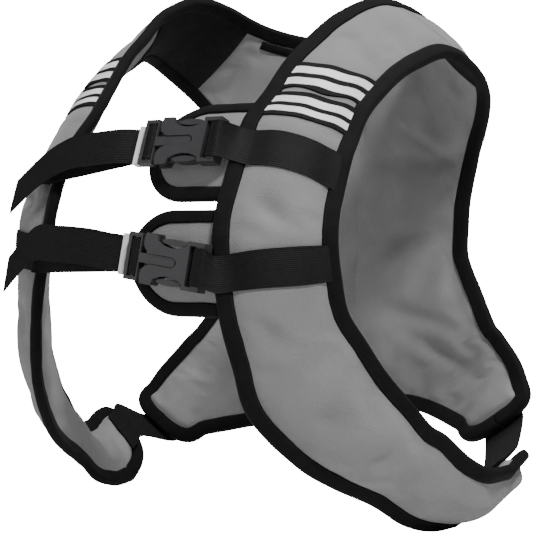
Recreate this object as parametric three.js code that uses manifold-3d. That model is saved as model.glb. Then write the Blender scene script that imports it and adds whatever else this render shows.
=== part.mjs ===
// Weighted vest in its worn form: padded fronts and back, edge bindings, straps and fastened buckles.
// Millimetres, +Z up, front towards -Y, the wearer's left towards +X.
// The origin is the seat on the shoulders, midway between them.
import * as THREE from "three";
import { mergeVertices } from "three/addons/utils/BufferGeometryUtils.js";
import Module from "manifold-3d";

const wasm = await Module();
wasm.setup();

// Overall form
const halfWidth = 190; // middle of the vest to a wing tip
const depth = 290; // back of the yoke to the front of the chest
const height = 390; // shoulder top to the lowest edge of the fronts
const lean = 6; // how far one side hangs lower than the middle

// Padding
const edgeThickness = 4; // sewn edge inside the binding
const puffOuter = 12; // swell of the padding beyond the edge, outer face
const puffInner = 6; // the same on the inner face

// Cloth edges and tapes
const clearance = 0.35; // between pieces that touch
const bindingGap = 1; // play between a folded tape and the curved cloth in it
const hemGap = 1.5; // the same along the hem, where the cloth curves two ways
const strapGap = 0.7; // under webbing that crosses the swell of a front
const bindingWall = 1.3;
const bindingLeg = 9;
const flatZone = 10.5; // strip along each edge that stays flat for the binding
const tapeThickness = 0.9;
const stripeThickness = 0.5;
const liningThickness = 0.9;
const neckTapeWidth = 6;

// Webbing and buckles
const webbingWidth = 25;
const webbingThickness = 1.4;
const elasticWidth = 36;
const elasticThickness = 2;
const buckleLength = 64;
const buckleWidth = 34;
const buckleThickness = 8.6;
const buckleWall = 2.2; // front and back plates of the socket
const barWidth = 2.6; // bars of the tongue's frame
const socketBarWidth = 6.5; // bar of the socket
const keeperWall = 1.2;
const keeperLength = 4.5;
const padLength = 68;
const padHeight = 68;
const padThickness = 4;

const legHeight = edgeThickness / 2 + bindingGap + bindingWall; // binding's outer face above the middle

// Colours from the photo
const colours = { grey: 0x8f8f8f, black: 0x1d1d1f, white: 0xf2f2f2, plastic: 0x3a3a3c };

function material(colour, roughness) {
  return new THREE.MeshStandardMaterial({ color: colours[colour], roughness, metalness: 0, name: colour });
}
const cloth = material("grey", 0.85);
const trim = material("black", 0.9);
const reflective = material("white", 0.55);
const plastic = material("plastic", 0.45);

// Rows across one half, from the tip of the front over the shoulder to the tip of the wing.
// in: centre edge, neck, middle of the back or hem. out: armhole edge. x, y, z are shares of
// halfWidth, depth and height. puff: share of the padding's swell. middle: 1 where the row starts
// at the middle of the back with full padding. lift: share of lean by which the right side is higher.
const frontRows = [
  { inX: 0.768, inY: -0.024, inZ: -0.89, outX: 1.011, outY: -0.017, outZ: -0.784, puff: 0.9, lift: 1 },
  { inX: 0.742, inY: -0.107, inZ: -0.892, outX: 0.975, outY: -0.085, outZ: -0.786, puff: 1, lift: 1 },
  { inX: 0.716, inY: -0.207, inZ: -0.874, outX: 0.932, outY: -0.145, outZ: -0.762, puff: 1, lift: 1 },
  { inX: 0.674, inY: -0.303, inZ: -0.833, outX: 0.895, outY: -0.207, outZ: -0.722, puff: 1, lift: 1 },
  { inX: 0.621, inY: -0.414, inZ: -0.797, outX: 0.865, outY: -0.25, outZ: -0.702, puff: 1, lift: 1 },
  { inX: 0.563, inY: -0.51, inZ: -0.754, outX: 0.835, outY: -0.295, outZ: -0.665, puff: 1, lift: 1 },
  { inX: 0.484, inY: -0.614, inZ: -0.672, outX: 0.785, outY: -0.359, outZ: -0.61, puff: 1, lift: 1 },
  { inX: 0.453, inY: -0.645, inZ: -0.59, outX: 0.745, outY: -0.41, outZ: -0.553, puff: 1, lift: 1 },
  { inX: 0.421, inY: -0.662, inZ: -0.518, outX: 0.711, outY: -0.455, outZ: -0.5, puff: 1, lift: 1 },
  { inX: 0.4, inY: -0.662, inZ: -0.467, outX: 0.705, outY: -0.476, outZ: -0.444, puff: 0.95, lift: 1 },
  { inX: 0.379, inY: -0.655, inZ: -0.405, outX: 0.7, outY: -0.486, outZ: -0.385, puff: 0.95, lift: 1 },
  { inX: 0.368, inY: -0.638, inZ: -0.336, outX: 0.689, outY: -0.469, outZ: -0.336, puff: 0.95, lift: 1 },
  { inX: 0.366, inY: -0.583, inZ: -0.249, outX: 0.679, outY: -0.441, outZ: -0.3, puff: 0.9, lift: 1 },
  { inX: 0.342, inY: -0.521, inZ: -0.192, outX: 0.674, outY: -0.4, outZ: -0.238, puff: 0.85, lift: 1 },
  { inX: 0.337, inY: -0.49, inZ: -0.164, outX: 0.668, outY: -0.369, outZ: -0.21, puff: 0.8, lift: 1 },
  { inX: 0.353, inY: -0.431, inZ: -0.121, outX: 0.663, outY: -0.314, outZ: -0.159, puff: 0.7, lift: 1 },
  { inX: 0.366, inY: -0.359, inZ: -0.064, outX: 0.666, outY: -0.224, outZ: -0.11, puff: 0.6, lift: 1 },
  { inX: 0.379, inY: -0.276, inZ: -0.018, outX: 0.674, outY: -0.155, outZ: -0.079, puff: 0.5, lift: 1 },
  { inX: 0.405, inY: -0.19, inZ: 0.026, outX: 0.689, outY: -0.093, outZ: -0.059, puff: 0.42, lift: 1 },
  { inX: 0.421, inY: -0.052, inZ: 0.064, outX: 0.721, outY: -0.017, outZ: -0.038, puff: 0.38, lift: 1 },
  { inX: 0.432, inY: 0.059, inZ: 0.069, outX: 0.747, outY: 0.052, outZ: -0.044, puff: 0.3, lift: 1 },
];
const backRows = [
  { inX: 0.432, inY: 0.059, inZ: 0.069, outX: 0.747, outY: 0.052, outZ: -0.044, puff: 0.3, lift: 1 },
  { inX: 0.434, inY: 0.148, inZ: 0.059, outX: 0.747, outY: 0.128, outZ: -0.069, puff: 0.36, lift: 1 },
  { inX: 0.416, inY: 0.224, inZ: 0.044, outX: 0.721, outY: 0.197, outZ: -0.1, puff: 0.42, lift: 0.8 },
  { inX: 0.368, inY: 0.283, inZ: 0.031, outX: 0.684, outY: 0.245, outZ: -0.133, puff: 0.48, lift: 0.6 },
  { inX: 0.295, inY: 0.324, inZ: 0.023, outX: 0.637, outY: 0.283, outZ: -0.172, puff: 0.5, lift: 0.4 },
  { inX: 0.211, inY: 0.345, inZ: 0.018, outX: 0.589, outY: 0.31, outZ: -0.213, puff: 0.5, lift: 0.2 },
  { inX: 0.111, inY: 0.355, inZ: 0.014, outX: 0.558, outY: 0.324, outZ: -0.256, puff: 0.5, lift: 0 },
  { inX: 0, inY: 0.359, inZ: 0.013, outX: 0.532, outY: 0.328, outZ: -0.308, puff: 0.5, lift: 0 },
  { inX: 0, inY: 0.36, inZ: -0.018, outX: 0.523, outY: 0.328, outZ: -0.34, puff: 0.5, lift: 0 },
  { inX: 0, inY: 0.362, inZ: -0.09, outX: 0.521, outY: 0.328, outZ: -0.364, puff: 0.5, middle: 0.8, lift: 0 },
  { inX: 0, inY: 0.362, inZ: -0.244, outX: 0.521, outY: 0.324, outZ: -0.413, puff: 0.5, middle: 1, lift: 0 },
  { inX: 0, inY: 0.355, inZ: -0.372, outX: 0.558, outY: 0.307, outZ: -0.454, puff: 0.5, middle: 1, lift: -0.3 },
  { inX: 0, inY: 0.345, inZ: -0.5, outX: 0.621, outY: 0.279, outZ: -0.5, puff: 0.5, middle: 1, lift: -0.6 },
  { inX: 0, inY: 0.334, inZ: -0.615, outX: 0.69, outY: 0.245, outZ: -0.549, puff: 0.45, middle: 0.8, lift: -0.8 },
  { inX: 0, inY: 0.329, inZ: -0.695, outX: 0.725, outY: 0.231, outZ: -0.572, puff: 0.25, lift: -0.9 },
  { inX: 0, inY: 0.328, inZ: -0.727, outX: 0.75, outY: 0.224, outZ: -0.582, puff: 0.15, lift: -1 },
  { inX: 0.158, inY: 0.317, inZ: -0.731, outX: 0.8, outY: 0.21, outZ: -0.608, puff: 0.25, lift: -1.2 },
  { inX: 0.316, inY: 0.286, inZ: -0.741, outX: 0.838, outY: 0.2, outZ: -0.628, puff: 0.4, lift: -1.3 },
  { inX: 0.447, inY: 0.248, inZ: -0.752, outX: 0.872, outY: 0.19, outZ: -0.649, puff: 0.5, lift: -1.3 },
  { inX: 0.622, inY: 0.178, inZ: -0.77, outX: 0.908, outY: 0.176, outZ: -0.679, puff: 0.5, lift: -1.3 },
];
// Middle of each rounded end
const frontTip = { x: 0.911, y: 0.071, z: -0.796, lift: 1 };
const wingTip = { x: 0.825, y: 0.14, z: -0.756, lift: -1.3 };
const endSquareness = 0.66; // 1 is an ellipse, less is squarer
const endSpokes = 8;

// Places on the front, as row numbers of frontRows
const lowerStrap = { from: 9, to: 10 };
const upperStrap = { from: 12, to: 13 };
const upperStrapRight = { from: 11.3, to: 12 }; // it hangs lower on the right front
const tapes = { upper: { from: 15, to: 16 }, lower: { from: 14, to: 15 } };
const liningFront = 18;
const liningBack = 2;
// Edges across one tape: border, two stripes, border, as shares of its width
const stripeEdges = { start: 0.03, a0: 0.19, a1: 0.42, b0: 0.58, b1: 0.81, end: 0.97 };

const V = (x, y, z) => new THREE.Vector3(x, y, z);
const mix = (a, b, t) => a.clone().lerp(b, t);

// A point from shares, on the left side (1) or the right (-1).
function place(x, y, z, lift, side) {
  const off = Math.min(1, x * 3);
  return V(side * x * halfWidth, y * depth, z * height - side * lift * lean * off);
}

// Smooth curve through rows first..last of a point list.
function curveThrough(points, first, last) {
  return new THREE.CatmullRomCurve3(points.slice(first, last + 1), false, "catmullrom", 0.5);
}

// Row numbers with fractions at which the half is cut into sections.
function sectionsOf(rows, extra, longest) {
  const found = [];
  for (let i = 0; i < rows.length - 1; i++) {
    found.push(i);
    if (extra[i]) {
      for (const share of extra[i]) found.push(i + share);
      continue; // these cuts come from what lies on the cloth, and the bindings skip them
    }
    const gap = place(rows[i].outX, rows[i].outY, rows[i].outZ, 0, 1).distanceTo(
      place(rows[i + 1].outX, rows[i + 1].outY, rows[i + 1].outZ, 0, 1),
    );
    if (gap > longest) found.push(i + 0.5);
  }
  found.push(rows.length - 1);
  return found;
}

const columns = 7; // points across a section: edge, flat zone, quarter, middle, quarter, flat zone, edge
const swell = [0, 0, 0.72, 1, 0.72, 0, 0];

// Mid-surface, normals and faces of one half of the fronts or the back.
function makeHalf(rows, side, extra, corners) {
  const ins = rows.map((r) => place(r.inX, r.inY, r.inZ, r.lift, side));
  const outs = rows.map((r) => place(r.outX, r.outY, r.outZ, r.lift, side));
  const stops = [0, ...corners, rows.length - 1];
  const pieces = stops.slice(1).map((stop, i) => curveThrough(ins, stops[i], stop));
  const outCurve = curveThrough(outs, 0, rows.length - 1);
  const at = sectionsOf(rows, extra, 24);
  const value = (name, u) => {
    const i = Math.min(Math.floor(u), rows.length - 2);
    return THREE.MathUtils.lerp(rows[i][name] ?? 0, rows[i + 1][name] ?? 0, u - i);
  };
  const inAt = (u) => {
    const n = Math.min(stops.findLastIndex((stop) => stop <= u), pieces.length - 1);
    return pieces[n].getPoint((u - stops[n]) / (stops[n + 1] - stops[n]));
  };
  const sections = at.map((u) => ({
    u,
    fine: (extra[Math.floor(u)] ?? []).length > 1 && u % 1 > 0,
    in: inAt(u),
    out: outCurve.getPoint(u / (rows.length - 1)),
    puff: value("puff", u),
    middle: value("middle", u),
  }));
  sections.forEach((s, i) => {
    const before = sections[Math.max(i - 1, 0)];
    const after = sections[Math.min(i + 1, sections.length - 1)];
    const across = s.out.clone().sub(s.in);
    const inFrom = corners.includes(s.u) && before.in.x === 0 ? s.in : before.in;
    const inTo = corners.includes(s.u) && after.in.x === 0 ? s.in : after.in;
    s.stretchIn = slant(across, inTo.clone().sub(inFrom));
    s.stretchOut = slant(across, after.out.clone().sub(before.out));
    const a = Math.min(0.34, (flatZone * s.stretchIn) / across.length());
    const b = Math.min(0.34, (flatZone * s.stretchOut) / across.length());
    const shares = [0, a, (a + 0.5) / 2, 0.5, (1.5 - b) / 2, 1 - b, 1];
    s.mid = shares.map((share) => mix(s.in, s.out, share));
  });
  sections.forEach((s, i) => {
    const before = sections[Math.max(i - 1, 0)];
    const after = sections[Math.min(i + 1, sections.length - 1)];
    const across = s.out.clone().sub(s.in);
    s.normal = s.mid.map((p, k) => {
      const along = after.mid[k].clone().sub(before.mid[k]);
      if (s.in.x === 0 && k === 0) {
        const above = before.in.x === 0 ? before.in : s.in;
        const below = after.in.x === 0 ? after.in : s.in;
        return V(0, above.z - below.z, below.y - above.y).normalize();
      }
      return across.clone().cross(along).multiplyScalar(side).normalize();
    });
    s.normal[1].copy(s.normal[0]);
    s.normal[5].copy(s.normal[6]);
    const fall = swell.map((h, k) => {
      const level = 1 - k / (columns - 1);
      return s.middle ? THREE.MathUtils.lerp(h, k < 4 ? 1 : h, s.middle * Math.min(1, level * 2)) : h;
    });
    const raised = (k, sign, puff) => {
      return face(s.mid[k], s.normal[k], sign * (edgeThickness / 2 + fall[k] * s.puff * puff));
    };
    s.faceOuter = s.mid.map((_, k) => raised(k, 1, puffOuter));
    s.faceInner = s.mid.map((_, k) => raised(k, -1, puffInner));
    s.shift = (k, outward, off) => {
      const from = outward > 0 ? s.faceOuter[k] : s.faceInner[k];
      return face(from, s.normal[k], outward * off);
    };
  });
  return sections;
}

function face(point, normal, off) {
  return point.clone().addScaledVector(normal, off);
}

// How much longer a width is when it is measured along a slanted line.
function slant(across, along) {
  const sine = Math.abs(Math.sin(across.angleTo(along)));
  return 1 / Math.max(sine, 0.4);
}

// Spokes of a rounded end, from its inner side round to its outer side. The first and last
// belong to the end section itself.
function makeEnd(section, tip, side) {
  const centre = section.mid[3];
  const apex = place(tip.x, tip.y, tip.z, tip.lift, side);
  const reach = apex.clone().sub(centre);
  const half = section.in.clone().sub(centre);
  const plane = half.clone().cross(reach).normalize();
  if (plane.dot(section.normal[3]) < 0) plane.negate();
  const spokes = [];
  for (let j = 0; j <= endSpokes; j++) {
    const angle = (Math.PI * j) / endSpokes;
    const c = Math.cos(angle);
    const s = Math.sin(angle);
    const edge = centre
      .clone()
      .addScaledVector(half, Math.sign(c) * Math.abs(c) ** endSquareness)
      .addScaledVector(reach, Math.abs(s) ** endSquareness);
    const base = c > 0 ? section.normal[0] : section.normal[6];
    spokes.push({ edge, normal: mix(base, plane, Math.min(1, s * 1.6)).normalize(), centre });
  }
  spokes.forEach((spoke, j) => {
    const inward = centre.clone().sub(spoke.edge);
    const before = spokes[Math.max(j - 1, 0)].edge;
    const after = spokes[Math.min(j + 1, endSpokes)].edge;
    spoke.tangent = after.clone().sub(before).normalize();
    spoke.stretch = slant(inward, spoke.tangent);
    const first = mix(spoke.edge, centre, Math.min(0.6, (flatZone * spoke.stretch) / inward.length()));
    spoke.inward = inward.normalize();
    const rings = [spoke.edge, first, mix(first, centre, 0.5)];
    const off = (k, puff) => edgeThickness / 2 + swell[k] * section.puff * puff;
    spoke.faceOuter = rings.map((p, k) => face(p, spoke.normal, off(k, puffOuter)));
    spoke.faceInner = rings.map((p, k) => face(p, spoke.normal, -off(k, puffInner)));
  });
  return { spokes, apex, reach: reach.clone().normalize(), across: half.clone().normalize(), plane };
}

// Triangle soup with helpers for quads, strips and slabs.
class Shell {
  constructor() {
    this.points = [];
  }
  triangle(a, b, c) {
    if (a.distanceTo(b) < 1e-4 || b.distanceTo(c) < 1e-4 || a.distanceTo(c) < 1e-4) return;
    this.points.push(a, b, c);
  }
  // Split along the shorter diagonal, so that both sides and layers that follow each other agree.
  quad(a, b, c, d) {
    if (a.distanceTo(c) <= b.distanceTo(d)) {
      this.triangle(a, b, c);
      this.triangle(a, c, d);
    } else {
      this.triangle(a, b, d);
      this.triangle(b, c, d);
    }
  }
  grid(rows, flipped) {
    for (let i = 0; i < rows.length - 1; i++) {
      for (let k = 0; k < rows[i].length - 1; k++) {
        const corners = [rows[i][k], rows[i + 1][k], rows[i + 1][k + 1], rows[i][k + 1]];
        if (flipped) corners.reverse();
        this.quad(...corners);
      }
    }
  }
  wall(top, bottom, flipped) {
    for (let i = 0; i < top.length - 1; i++) {
      if (flipped) this.quad(top[i + 1], top[i], bottom[i], bottom[i + 1]);
      else this.quad(top[i], top[i + 1], bottom[i + 1], bottom[i]);
    }
  }
  slab(top, bottom) {
    this.grid(top, false);
    this.grid(bottom, true);
    const column = (rows, k) => rows.map((row) => row.at(k));
    this.wall(column(top, 0), column(bottom, 0), true);
    this.wall(column(top, -1), column(bottom, -1), false);
    this.wall(top[0], bottom[0], false);
    this.wall(top.at(-1), bottom.at(-1), true);
    return this;
  }
  geometry() {
    let volume = 0;
    for (let i = 0; i < this.points.length; i += 3) {
      const [a, b, c] = this.points.slice(i, i + 3);
      volume += a.dot(b.clone().cross(c));
    }
    const order = volume > 0 ? [0, 1, 2] : [0, 2, 1];
    const flat = [];
    for (let i = 0; i < this.points.length; i += 3) {
      for (const n of order) flat.push(...this.points[i + n].toArray());
    }
    const raw = new THREE.BufferGeometry();
    raw.setAttribute("position", new THREE.Float32BufferAttribute(flat, 3));
    const merged = mergeVertices(raw, 1e-3).toNonIndexed();
    merged.computeVertexNormals();
    return merged;
  }
}

const vest = new THREE.Group();
vest.name = "weighted_vest";

function add(name, geometry, finish) {
  const mesh = new THREE.Mesh(geometry, finish);
  mesh.name = name;
  vest.add(mesh);
  return mesh;
}

// Both faces of a half, its rounded end, and the walls along its free edges.
function skinHalf(shell, sections, end, tipFirst, openFrom, openTo, side) {
  const outer = sections.map((s) => s.faceOuter);
  const inner = sections.map((s) => s.faceInner);
  const left = side > 0;
  shell.grid(outer, left);
  shell.grid(inner, !left);
  for (const k of [0, columns - 1]) {
    for (let i = 0; i < sections.length - 1; i++) {
      if (k === 0 && i >= openFrom && i < openTo) continue;
      shell.wall(
        [outer[i][k], outer[i + 1][k]],
        [inner[i][k], inner[i + 1][k]],
        (k === 0) !== left,
      );
    }
  }
  const seam = tipFirst ? sections.length - 1 : 0;
  shell.wall(outer[seam], inner[seam], tipFirst ? !left : left);
  const tipSection = sections[tipFirst ? 0 : sections.length - 1];
  const spokes = end.spokes;
  const outerRing = (j, k) => {
    if (k === 3) return tipSection.faceOuter[3];
    if (j === 0) return tipSection.faceOuter[k];
    if (j === endSpokes) return tipSection.faceOuter[columns - 1 - k];
    return spokes[j].faceOuter[k];
  };
  const innerRing = (j, k) => {
    if (k === 3) return tipSection.faceInner[3];
    if (j === 0) return tipSection.faceInner[k];
    if (j === endSpokes) return tipSection.faceInner[columns - 1 - k];
    return spokes[j].faceInner[k];
  };
  const turned = tipFirst === left;
  for (let j = 0; j < endSpokes; j++) {
    for (let k = 0; k < 3; k++) {
      const o = [outerRing(j, k), outerRing(j + 1, k), outerRing(j + 1, k + 1), outerRing(j, k + 1)];
      const n = [innerRing(j, k), innerRing(j + 1, k), innerRing(j + 1, k + 1), innerRing(j, k + 1)];
      if (!turned) o.reverse();
      else n.reverse();
      shell.quad(...o);
      shell.quad(...n);
    }
    shell.wall(
      [outerRing(j, 0), outerRing(j + 1, 0)],
      [innerRing(j, 0), innerRing(j + 1, 0)],
      turned,
    );
  }
}

// A folded tape over an edge. Each stop is an edge point with its inward direction and normal.
function binding(stops, gap = bindingGap) {
  const inside = edgeThickness / 2 + gap;
  const outside = inside + bindingWall;
  const profile = [
    [bindingLeg, outside],
    [-clearance - bindingWall, outside * 0.85],
    [-clearance - bindingWall, -outside * 0.85],
    [bindingLeg, -outside],
    [bindingLeg, -inside],
    [-clearance, -inside],
    [-clearance, inside],
    [bindingLeg, inside],
  ];
  const rings = stops.map((stop) =>
    profile.map(([a, b]) =>
      stop.edge.clone().addScaledVector(stop.inward, a * stop.stretch).addScaledVector(stop.normal, b),
    ),
  );
  return sweep(rings, profile);
}

// Closed solid through rings of equal length, capped by triangulating the flat profile.
function sweep(rings, profile) {
  const shell = new Shell();
  for (let i = 0; i < rings.length - 1; i++) {
    for (let k = 0; k < profile.length; k++) {
      const next = (k + 1) % profile.length;
      shell.quad(rings[i][k], rings[i + 1][k], rings[i + 1][next], rings[i][next]);
    }
  }
  const flat = profile.map(([a, b]) => new THREE.Vector2(a, b));
  const clockwise = THREE.ShapeUtils.isClockWise(flat);
  for (const [a, b, c] of THREE.ShapeUtils.triangulateShape(flat, [])) {
    const [first, last] = [rings[0], rings.at(-1)];
    if (clockwise === THREE.ShapeUtils.isClockWise([flat[a], flat[b], flat[c]])) {
      shell.triangle(first[a], first[b], first[c]);
      shell.triangle(last[a], last[c], last[b]);
    } else {
      shell.triangle(first[a], first[c], first[b]);
      shell.triangle(last[a], last[b], last[c]);
    }
  }
  return shell.geometry();
}

// Edge stops of a section's inner or outer edge.
function edgeStop(sections, i, k) {
  const s = sections[i];
  const inward = s.mid[3].clone().sub(s.mid[k]).normalize();
  const stretch = k === 0 ? s.stretchIn : s.stretchOut;
  return { edge: s.mid[k].clone(), inward, normal: s.normal[k], stretch };
}

function edgeStops(sections, k, from, to) {
  const stops = [];
  for (let i = from; i <= to; i++) {
    if (!sections[i].fine) stops.push(edgeStop(sections, i, k));
  }
  return stops;
}

// Half of a rounded end, from its middle to the inner (1) or outer (-1) side, without the last spoke.
function endStops(end, towards) {
  const middle = endSpokes / 2;
  const stops = [];
  for (let j = middle; j > 0; j--) {
    const spoke = end.spokes[towards > 0 ? j : endSpokes - j];
    const edge = spoke.edge.clone();
    if (j === middle) edge.addScaledVector(spoke.tangent, -towards * clearance * 0.5);
    stops.push({ edge, inward: spoke.inward, normal: spoke.normal, stretch: spoke.stretch });
  }
  return stops;
}

// Sections of both sides
const tapeCuts = Object.values(stripeEdges);
const frontCuts = {
  [tapes.lower.from]: tapeCuts,
  [tapes.upper.from]: tapeCuts,
  [lowerStrap.from]: [0.5],
  [upperStrap.from]: [0.5],
};
const neckEnd = backRows.findIndex((row) => row.inX === 0);
const hemStart = backRows.findLastIndex((row) => row.inX === 0);
const sides = {};
for (const [name, side] of [["left", 1], ["right", -1]]) {
  const front = makeHalf(frontRows, side, frontCuts, []);
  const back = makeHalf(backRows, side, {}, [neckEnd, hemStart]);
  const last = front.at(-1);
  const seamStep = last.mid[3].clone().sub(front.at(-2).mid[3]).normalize();
  for (const name of ["faceOuter", "faceInner"]) {
    last[name].forEach((p) => p.addScaledVector(seamStep, -clearance / 2));
    back[0][name].forEach((p, k) => p.copy(last[name][k]).addScaledVector(seamStep, clearance));
  }
  back[0].normal = last.normal;
  sides[name] = {
    name,
    side,
    front,
    back,
    frontEnd: makeEnd(front[0], frontTip, side),
    wingEnd: makeEnd(back.at(-1), wingTip, side),
  };
}

// Panels
for (const s of Object.values(sides)) {
  const shell = new Shell();
  skinHalf(shell, s.front, s.frontEnd, true, 0, 0, s.side);
  add(`front_panel_${s.name}`, shell.geometry(), cloth);
}
const neckSection = sides.left.back.findIndex((s) => s.u === neckEnd);
const hemSection = sides.left.back.findIndex((s) => s.u === hemStart);
const backShell = new Shell();
for (const s of Object.values(sides)) {
  skinHalf(backShell, s.back, s.wingEnd, false, neckSection, hemSection, s.side);
}
add("back_panel", backShell.geometry(), cloth);

// Bindings
function halfNeckline(s) {
  return [
    ...endStops(s.frontEnd, 1),
    ...edgeStops(s.front, 0, 0, s.front.length - 1),
    ...edgeStops(s.back, 0, 1, neckSection),
  ];
}
const neckLeft = halfNeckline(sides.left);
const neckRight = halfNeckline(sides.right);
const neckMiddle = neckLeft.pop();
neckRight.pop();
neckMiddle.inward = V(0, 0, -1);
neckMiddle.stretch = 1;
add("binding_neckline", binding([...neckLeft, neckMiddle, ...neckRight.reverse()]), trim);
for (const s of Object.values(sides)) {
  const stops = [
    ...endStops(s.frontEnd, -1),
    ...edgeStops(s.front, columns - 1, 0, s.front.length - 1),
    ...edgeStops(s.back, columns - 1, 1, s.back.length - 1),
    ...endStops(s.wingEnd, -1).reverse(),
  ];
  add(`binding_armhole_${s.name}`, binding(stops), trim);
}
function halfHem(s) {
  return [...edgeStops(s.back, 0, hemSection, s.back.length - 1), ...endStops(s.wingEnd, 1).reverse()];
}
const hemLeft = halfHem(sides.left);
const hemRight = halfHem(sides.right);
const hemMiddle = hemLeft.shift();
hemRight.shift();
hemMiddle.inward = V(0, 0, 1);
hemMiddle.stretch = 1;
add("binding_hem", binding([...hemLeft.reverse(), hemMiddle, ...hemRight], hemGap), trim);

// A thin piece over part of a face: sections i0..i1, columns k0..k1, between two heights above it.
function patch(sections, i0, i1, k0, k1, outward, low, high) {
  const layer = (off) =>
    sections.slice(i0, i1 + 1).map((s) => {
      const row = [];
      for (let k = k0; k <= k1; k++) row.push(s.shift(k, outward, off));
      return row;
    });
  return new Shell().slab(layer(high), layer(low)).geometry();
}

function sectionAt(sections, u) {
  return sections.findIndex((s) => Math.abs(s.u - u) < 1e-6);
}

// Tapes with their reflective stripes
for (const s of Object.values(sides)) {
  for (const [level, span] of Object.entries(tapes)) {
    const at = (share) => sectionAt(s.front, span.from + share);
    const top = clearance + tapeThickness;
    const tape = patch(s.front, at(stripeEdges.start), at(stripeEdges.end), 1, 5, 1, clearance, top);
    add(`tape_${s.name}_${level}`, tape, trim);
    for (const letter of ["a", "b"]) {
      const [from, to] = [at(stripeEdges[letter + "0"]), at(stripeEdges[letter + "1"])];
      const low = top + clearance;
      const stripe = patch(s.front, from, to, 1, 5, 1, low, low + stripeThickness);
      add(`stripe_${s.name}_${level}_${letter}`, stripe, reflective);
    }
  }
}

// Black lining inside each shoulder, over the shoulder seam, and the second band behind the neck
for (const s of Object.values(sides)) {
  const first = sectionAt(s.front, liningFront);
  const last = sectionAt(s.back, liningBack);
  const run = [...s.front.slice(first), ...s.back.slice(1, last + 1)];
  const lining = patch(run, 0, run.length - 1, 1, 5, -1, clearance, clearance + liningThickness);
  add(`shoulder_lining_${s.name}`, lining, trim);
}
const tapeFrom = sectionAt(sides.left.back, liningBack + 1);
function neckTapeRow(section, start, towards) {
  const rise = towards.clone().sub(start).normalize();
  return [start, start.clone().addScaledVector(rise, neckTapeWidth)].map((p) =>
    [strapGap, strapGap + tapeThickness].map((off) => face(p, section.normal[0], -off)),
  );
}
function neckTapeSide(s) {
  const run = s.back.slice(tapeFrom, neckSection);
  return run.map((section) => neckTapeRow(section, section.faceInner[1], section.faceInner[2]));
}
const [belowNeck, furtherDown] = sides.left.back.slice(neckSection + 1);
const neckRows = [
  ...neckTapeSide(sides.left),
  neckTapeRow(belowNeck, belowNeck.faceInner[0], furtherDown.faceInner[0]),
  ...neckTapeSide(sides.right).reverse(),
];
const neckLayer = (n) => neckRows.map((row) => row.map((p) => p[n]));
add("neck_tape", new Shell().slab(neckLayer(1), neckLayer(0)).geometry(), trim);

// Elastic from the outer face of each wing to the inner face of the front's end
for (const s of Object.values(sides)) {
  const low = legHeight - bindingGap + hemGap + clearance;
  const lay = (end, along, off, share) =>
    end.apex
      .clone()
      .addScaledVector(end.reach, along)
      .addScaledVector(end.across, share * elasticWidth)
      .addScaledVector(end.plane, off);
  const past = bindingWall + 2 * clearance;
  const layer = (extra) =>
    [-0.5, 0, 0.5].map((share) => [
      lay(s.wingEnd, -bindingLeg + 1, low + extra, share),
      lay(s.wingEnd, past, low + extra, share),
      lay(s.frontEnd, past, -low - elasticThickness + extra, share),
      lay(s.frontEnd, -bindingLeg + 1, -low - elasticThickness + extra, share),
    ]);
  add(`side_strap_${s.name}`, new Shell().slab(layer(elasticThickness), layer(0)).geometry(), trim);
}

// Buckles lie across the gap in front. In a buckle's frame x runs to the left front, y backwards
// and z up the chest, and 0 is its middle.
const frontGap = 2; // from the socket's end to the binding of the left front
const proud = { upper: 13, lower: 8 }; // how far a buckle stands before the edges of the fronts
const socketEnd = buckleLength / 2;
const socketStart = -buckleLength * 0.31;
const half = buckleThickness / 2;
const tongueHalf = half - 1;
const tongueThickness = buckleThickness - 2 * (buckleWall + clearance);
const fingerWidth = 6.4;
const fingerSlot = fingerWidth + 2 * clearance;
const layer = webbingThickness + clearance; // one turn of webbing on a bar
const throat = webbingThickness + 2 * clearance + 1; // opening in the frame that the webbing passes through
const socketThroat = webbingThickness + 2 * clearance + 3;
const slotDepth = buckleLength * 0.17; // end of the finger slot

// How much of the chest's slope a buckle follows, degrees by which the tongue's end is higher, and
// how far the buckle sits above its strap's row
const buckleSlope = { upper: 0.45, lower: 1 };
const buckleTilt = { upper: 0, lower: 8 };
const buckleRise = { upper: 0, lower: 8 };

function buckleFrame(level, span) {
  const low = sides.left.front[sectionAt(sides.left.front, span.from)].in;
  const high = sides.left.front[sectionAt(sides.left.front, span.to)].in;
  const up = V(0, (high.y - low.y) * buckleSlope[level], high.z - low.z).normalize();
  const back = up.clone().cross(V(1, 0, 0)).normalize();
  const tilt = THREE.MathUtils.degToRad(buckleTilt[level]);
  const x = V(1, 0, 0).applyAxisAngle(back, tilt);
  const centre = mix(low, high, 0.5).addScaledVector(up, buckleRise[level]);
  up.applyAxisAngle(back, tilt);
  centre.x -= socketEnd + frontGap + bindingWall + clearance;
  centre.addScaledVector(back, -proud[level]);
  return new THREE.Matrix4().makeBasis(x, back, up).setPosition(centre);
}
const buckles = { upper: buckleFrame("upper", upperStrap), lower: buckleFrame("lower", lowerStrap) };

// A plate of the x-z outline, from y0 to y1.
function plate(shape, y0, y1) {
  const g = new THREE.ExtrudeGeometry(shape, { depth: y1 - y0, bevelEnabled: false, curveSegments: 5 });
  g.rotateX(Math.PI / 2).translate(0, y1, 0);
  return g;
}

function solid(geometry) {
  const g = geometry.clone();
  g.deleteAttribute("normal");
  g.deleteAttribute("uv");
  const merged = mergeVertices(g, 1e-4);
  return new wasm.Manifold(
    new wasm.Mesh({
      numProp: 3,
      vertProperties: merged.attributes.position.array,
      triVerts: new Uint32Array(merged.index.array),
    }),
  );
}

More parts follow.
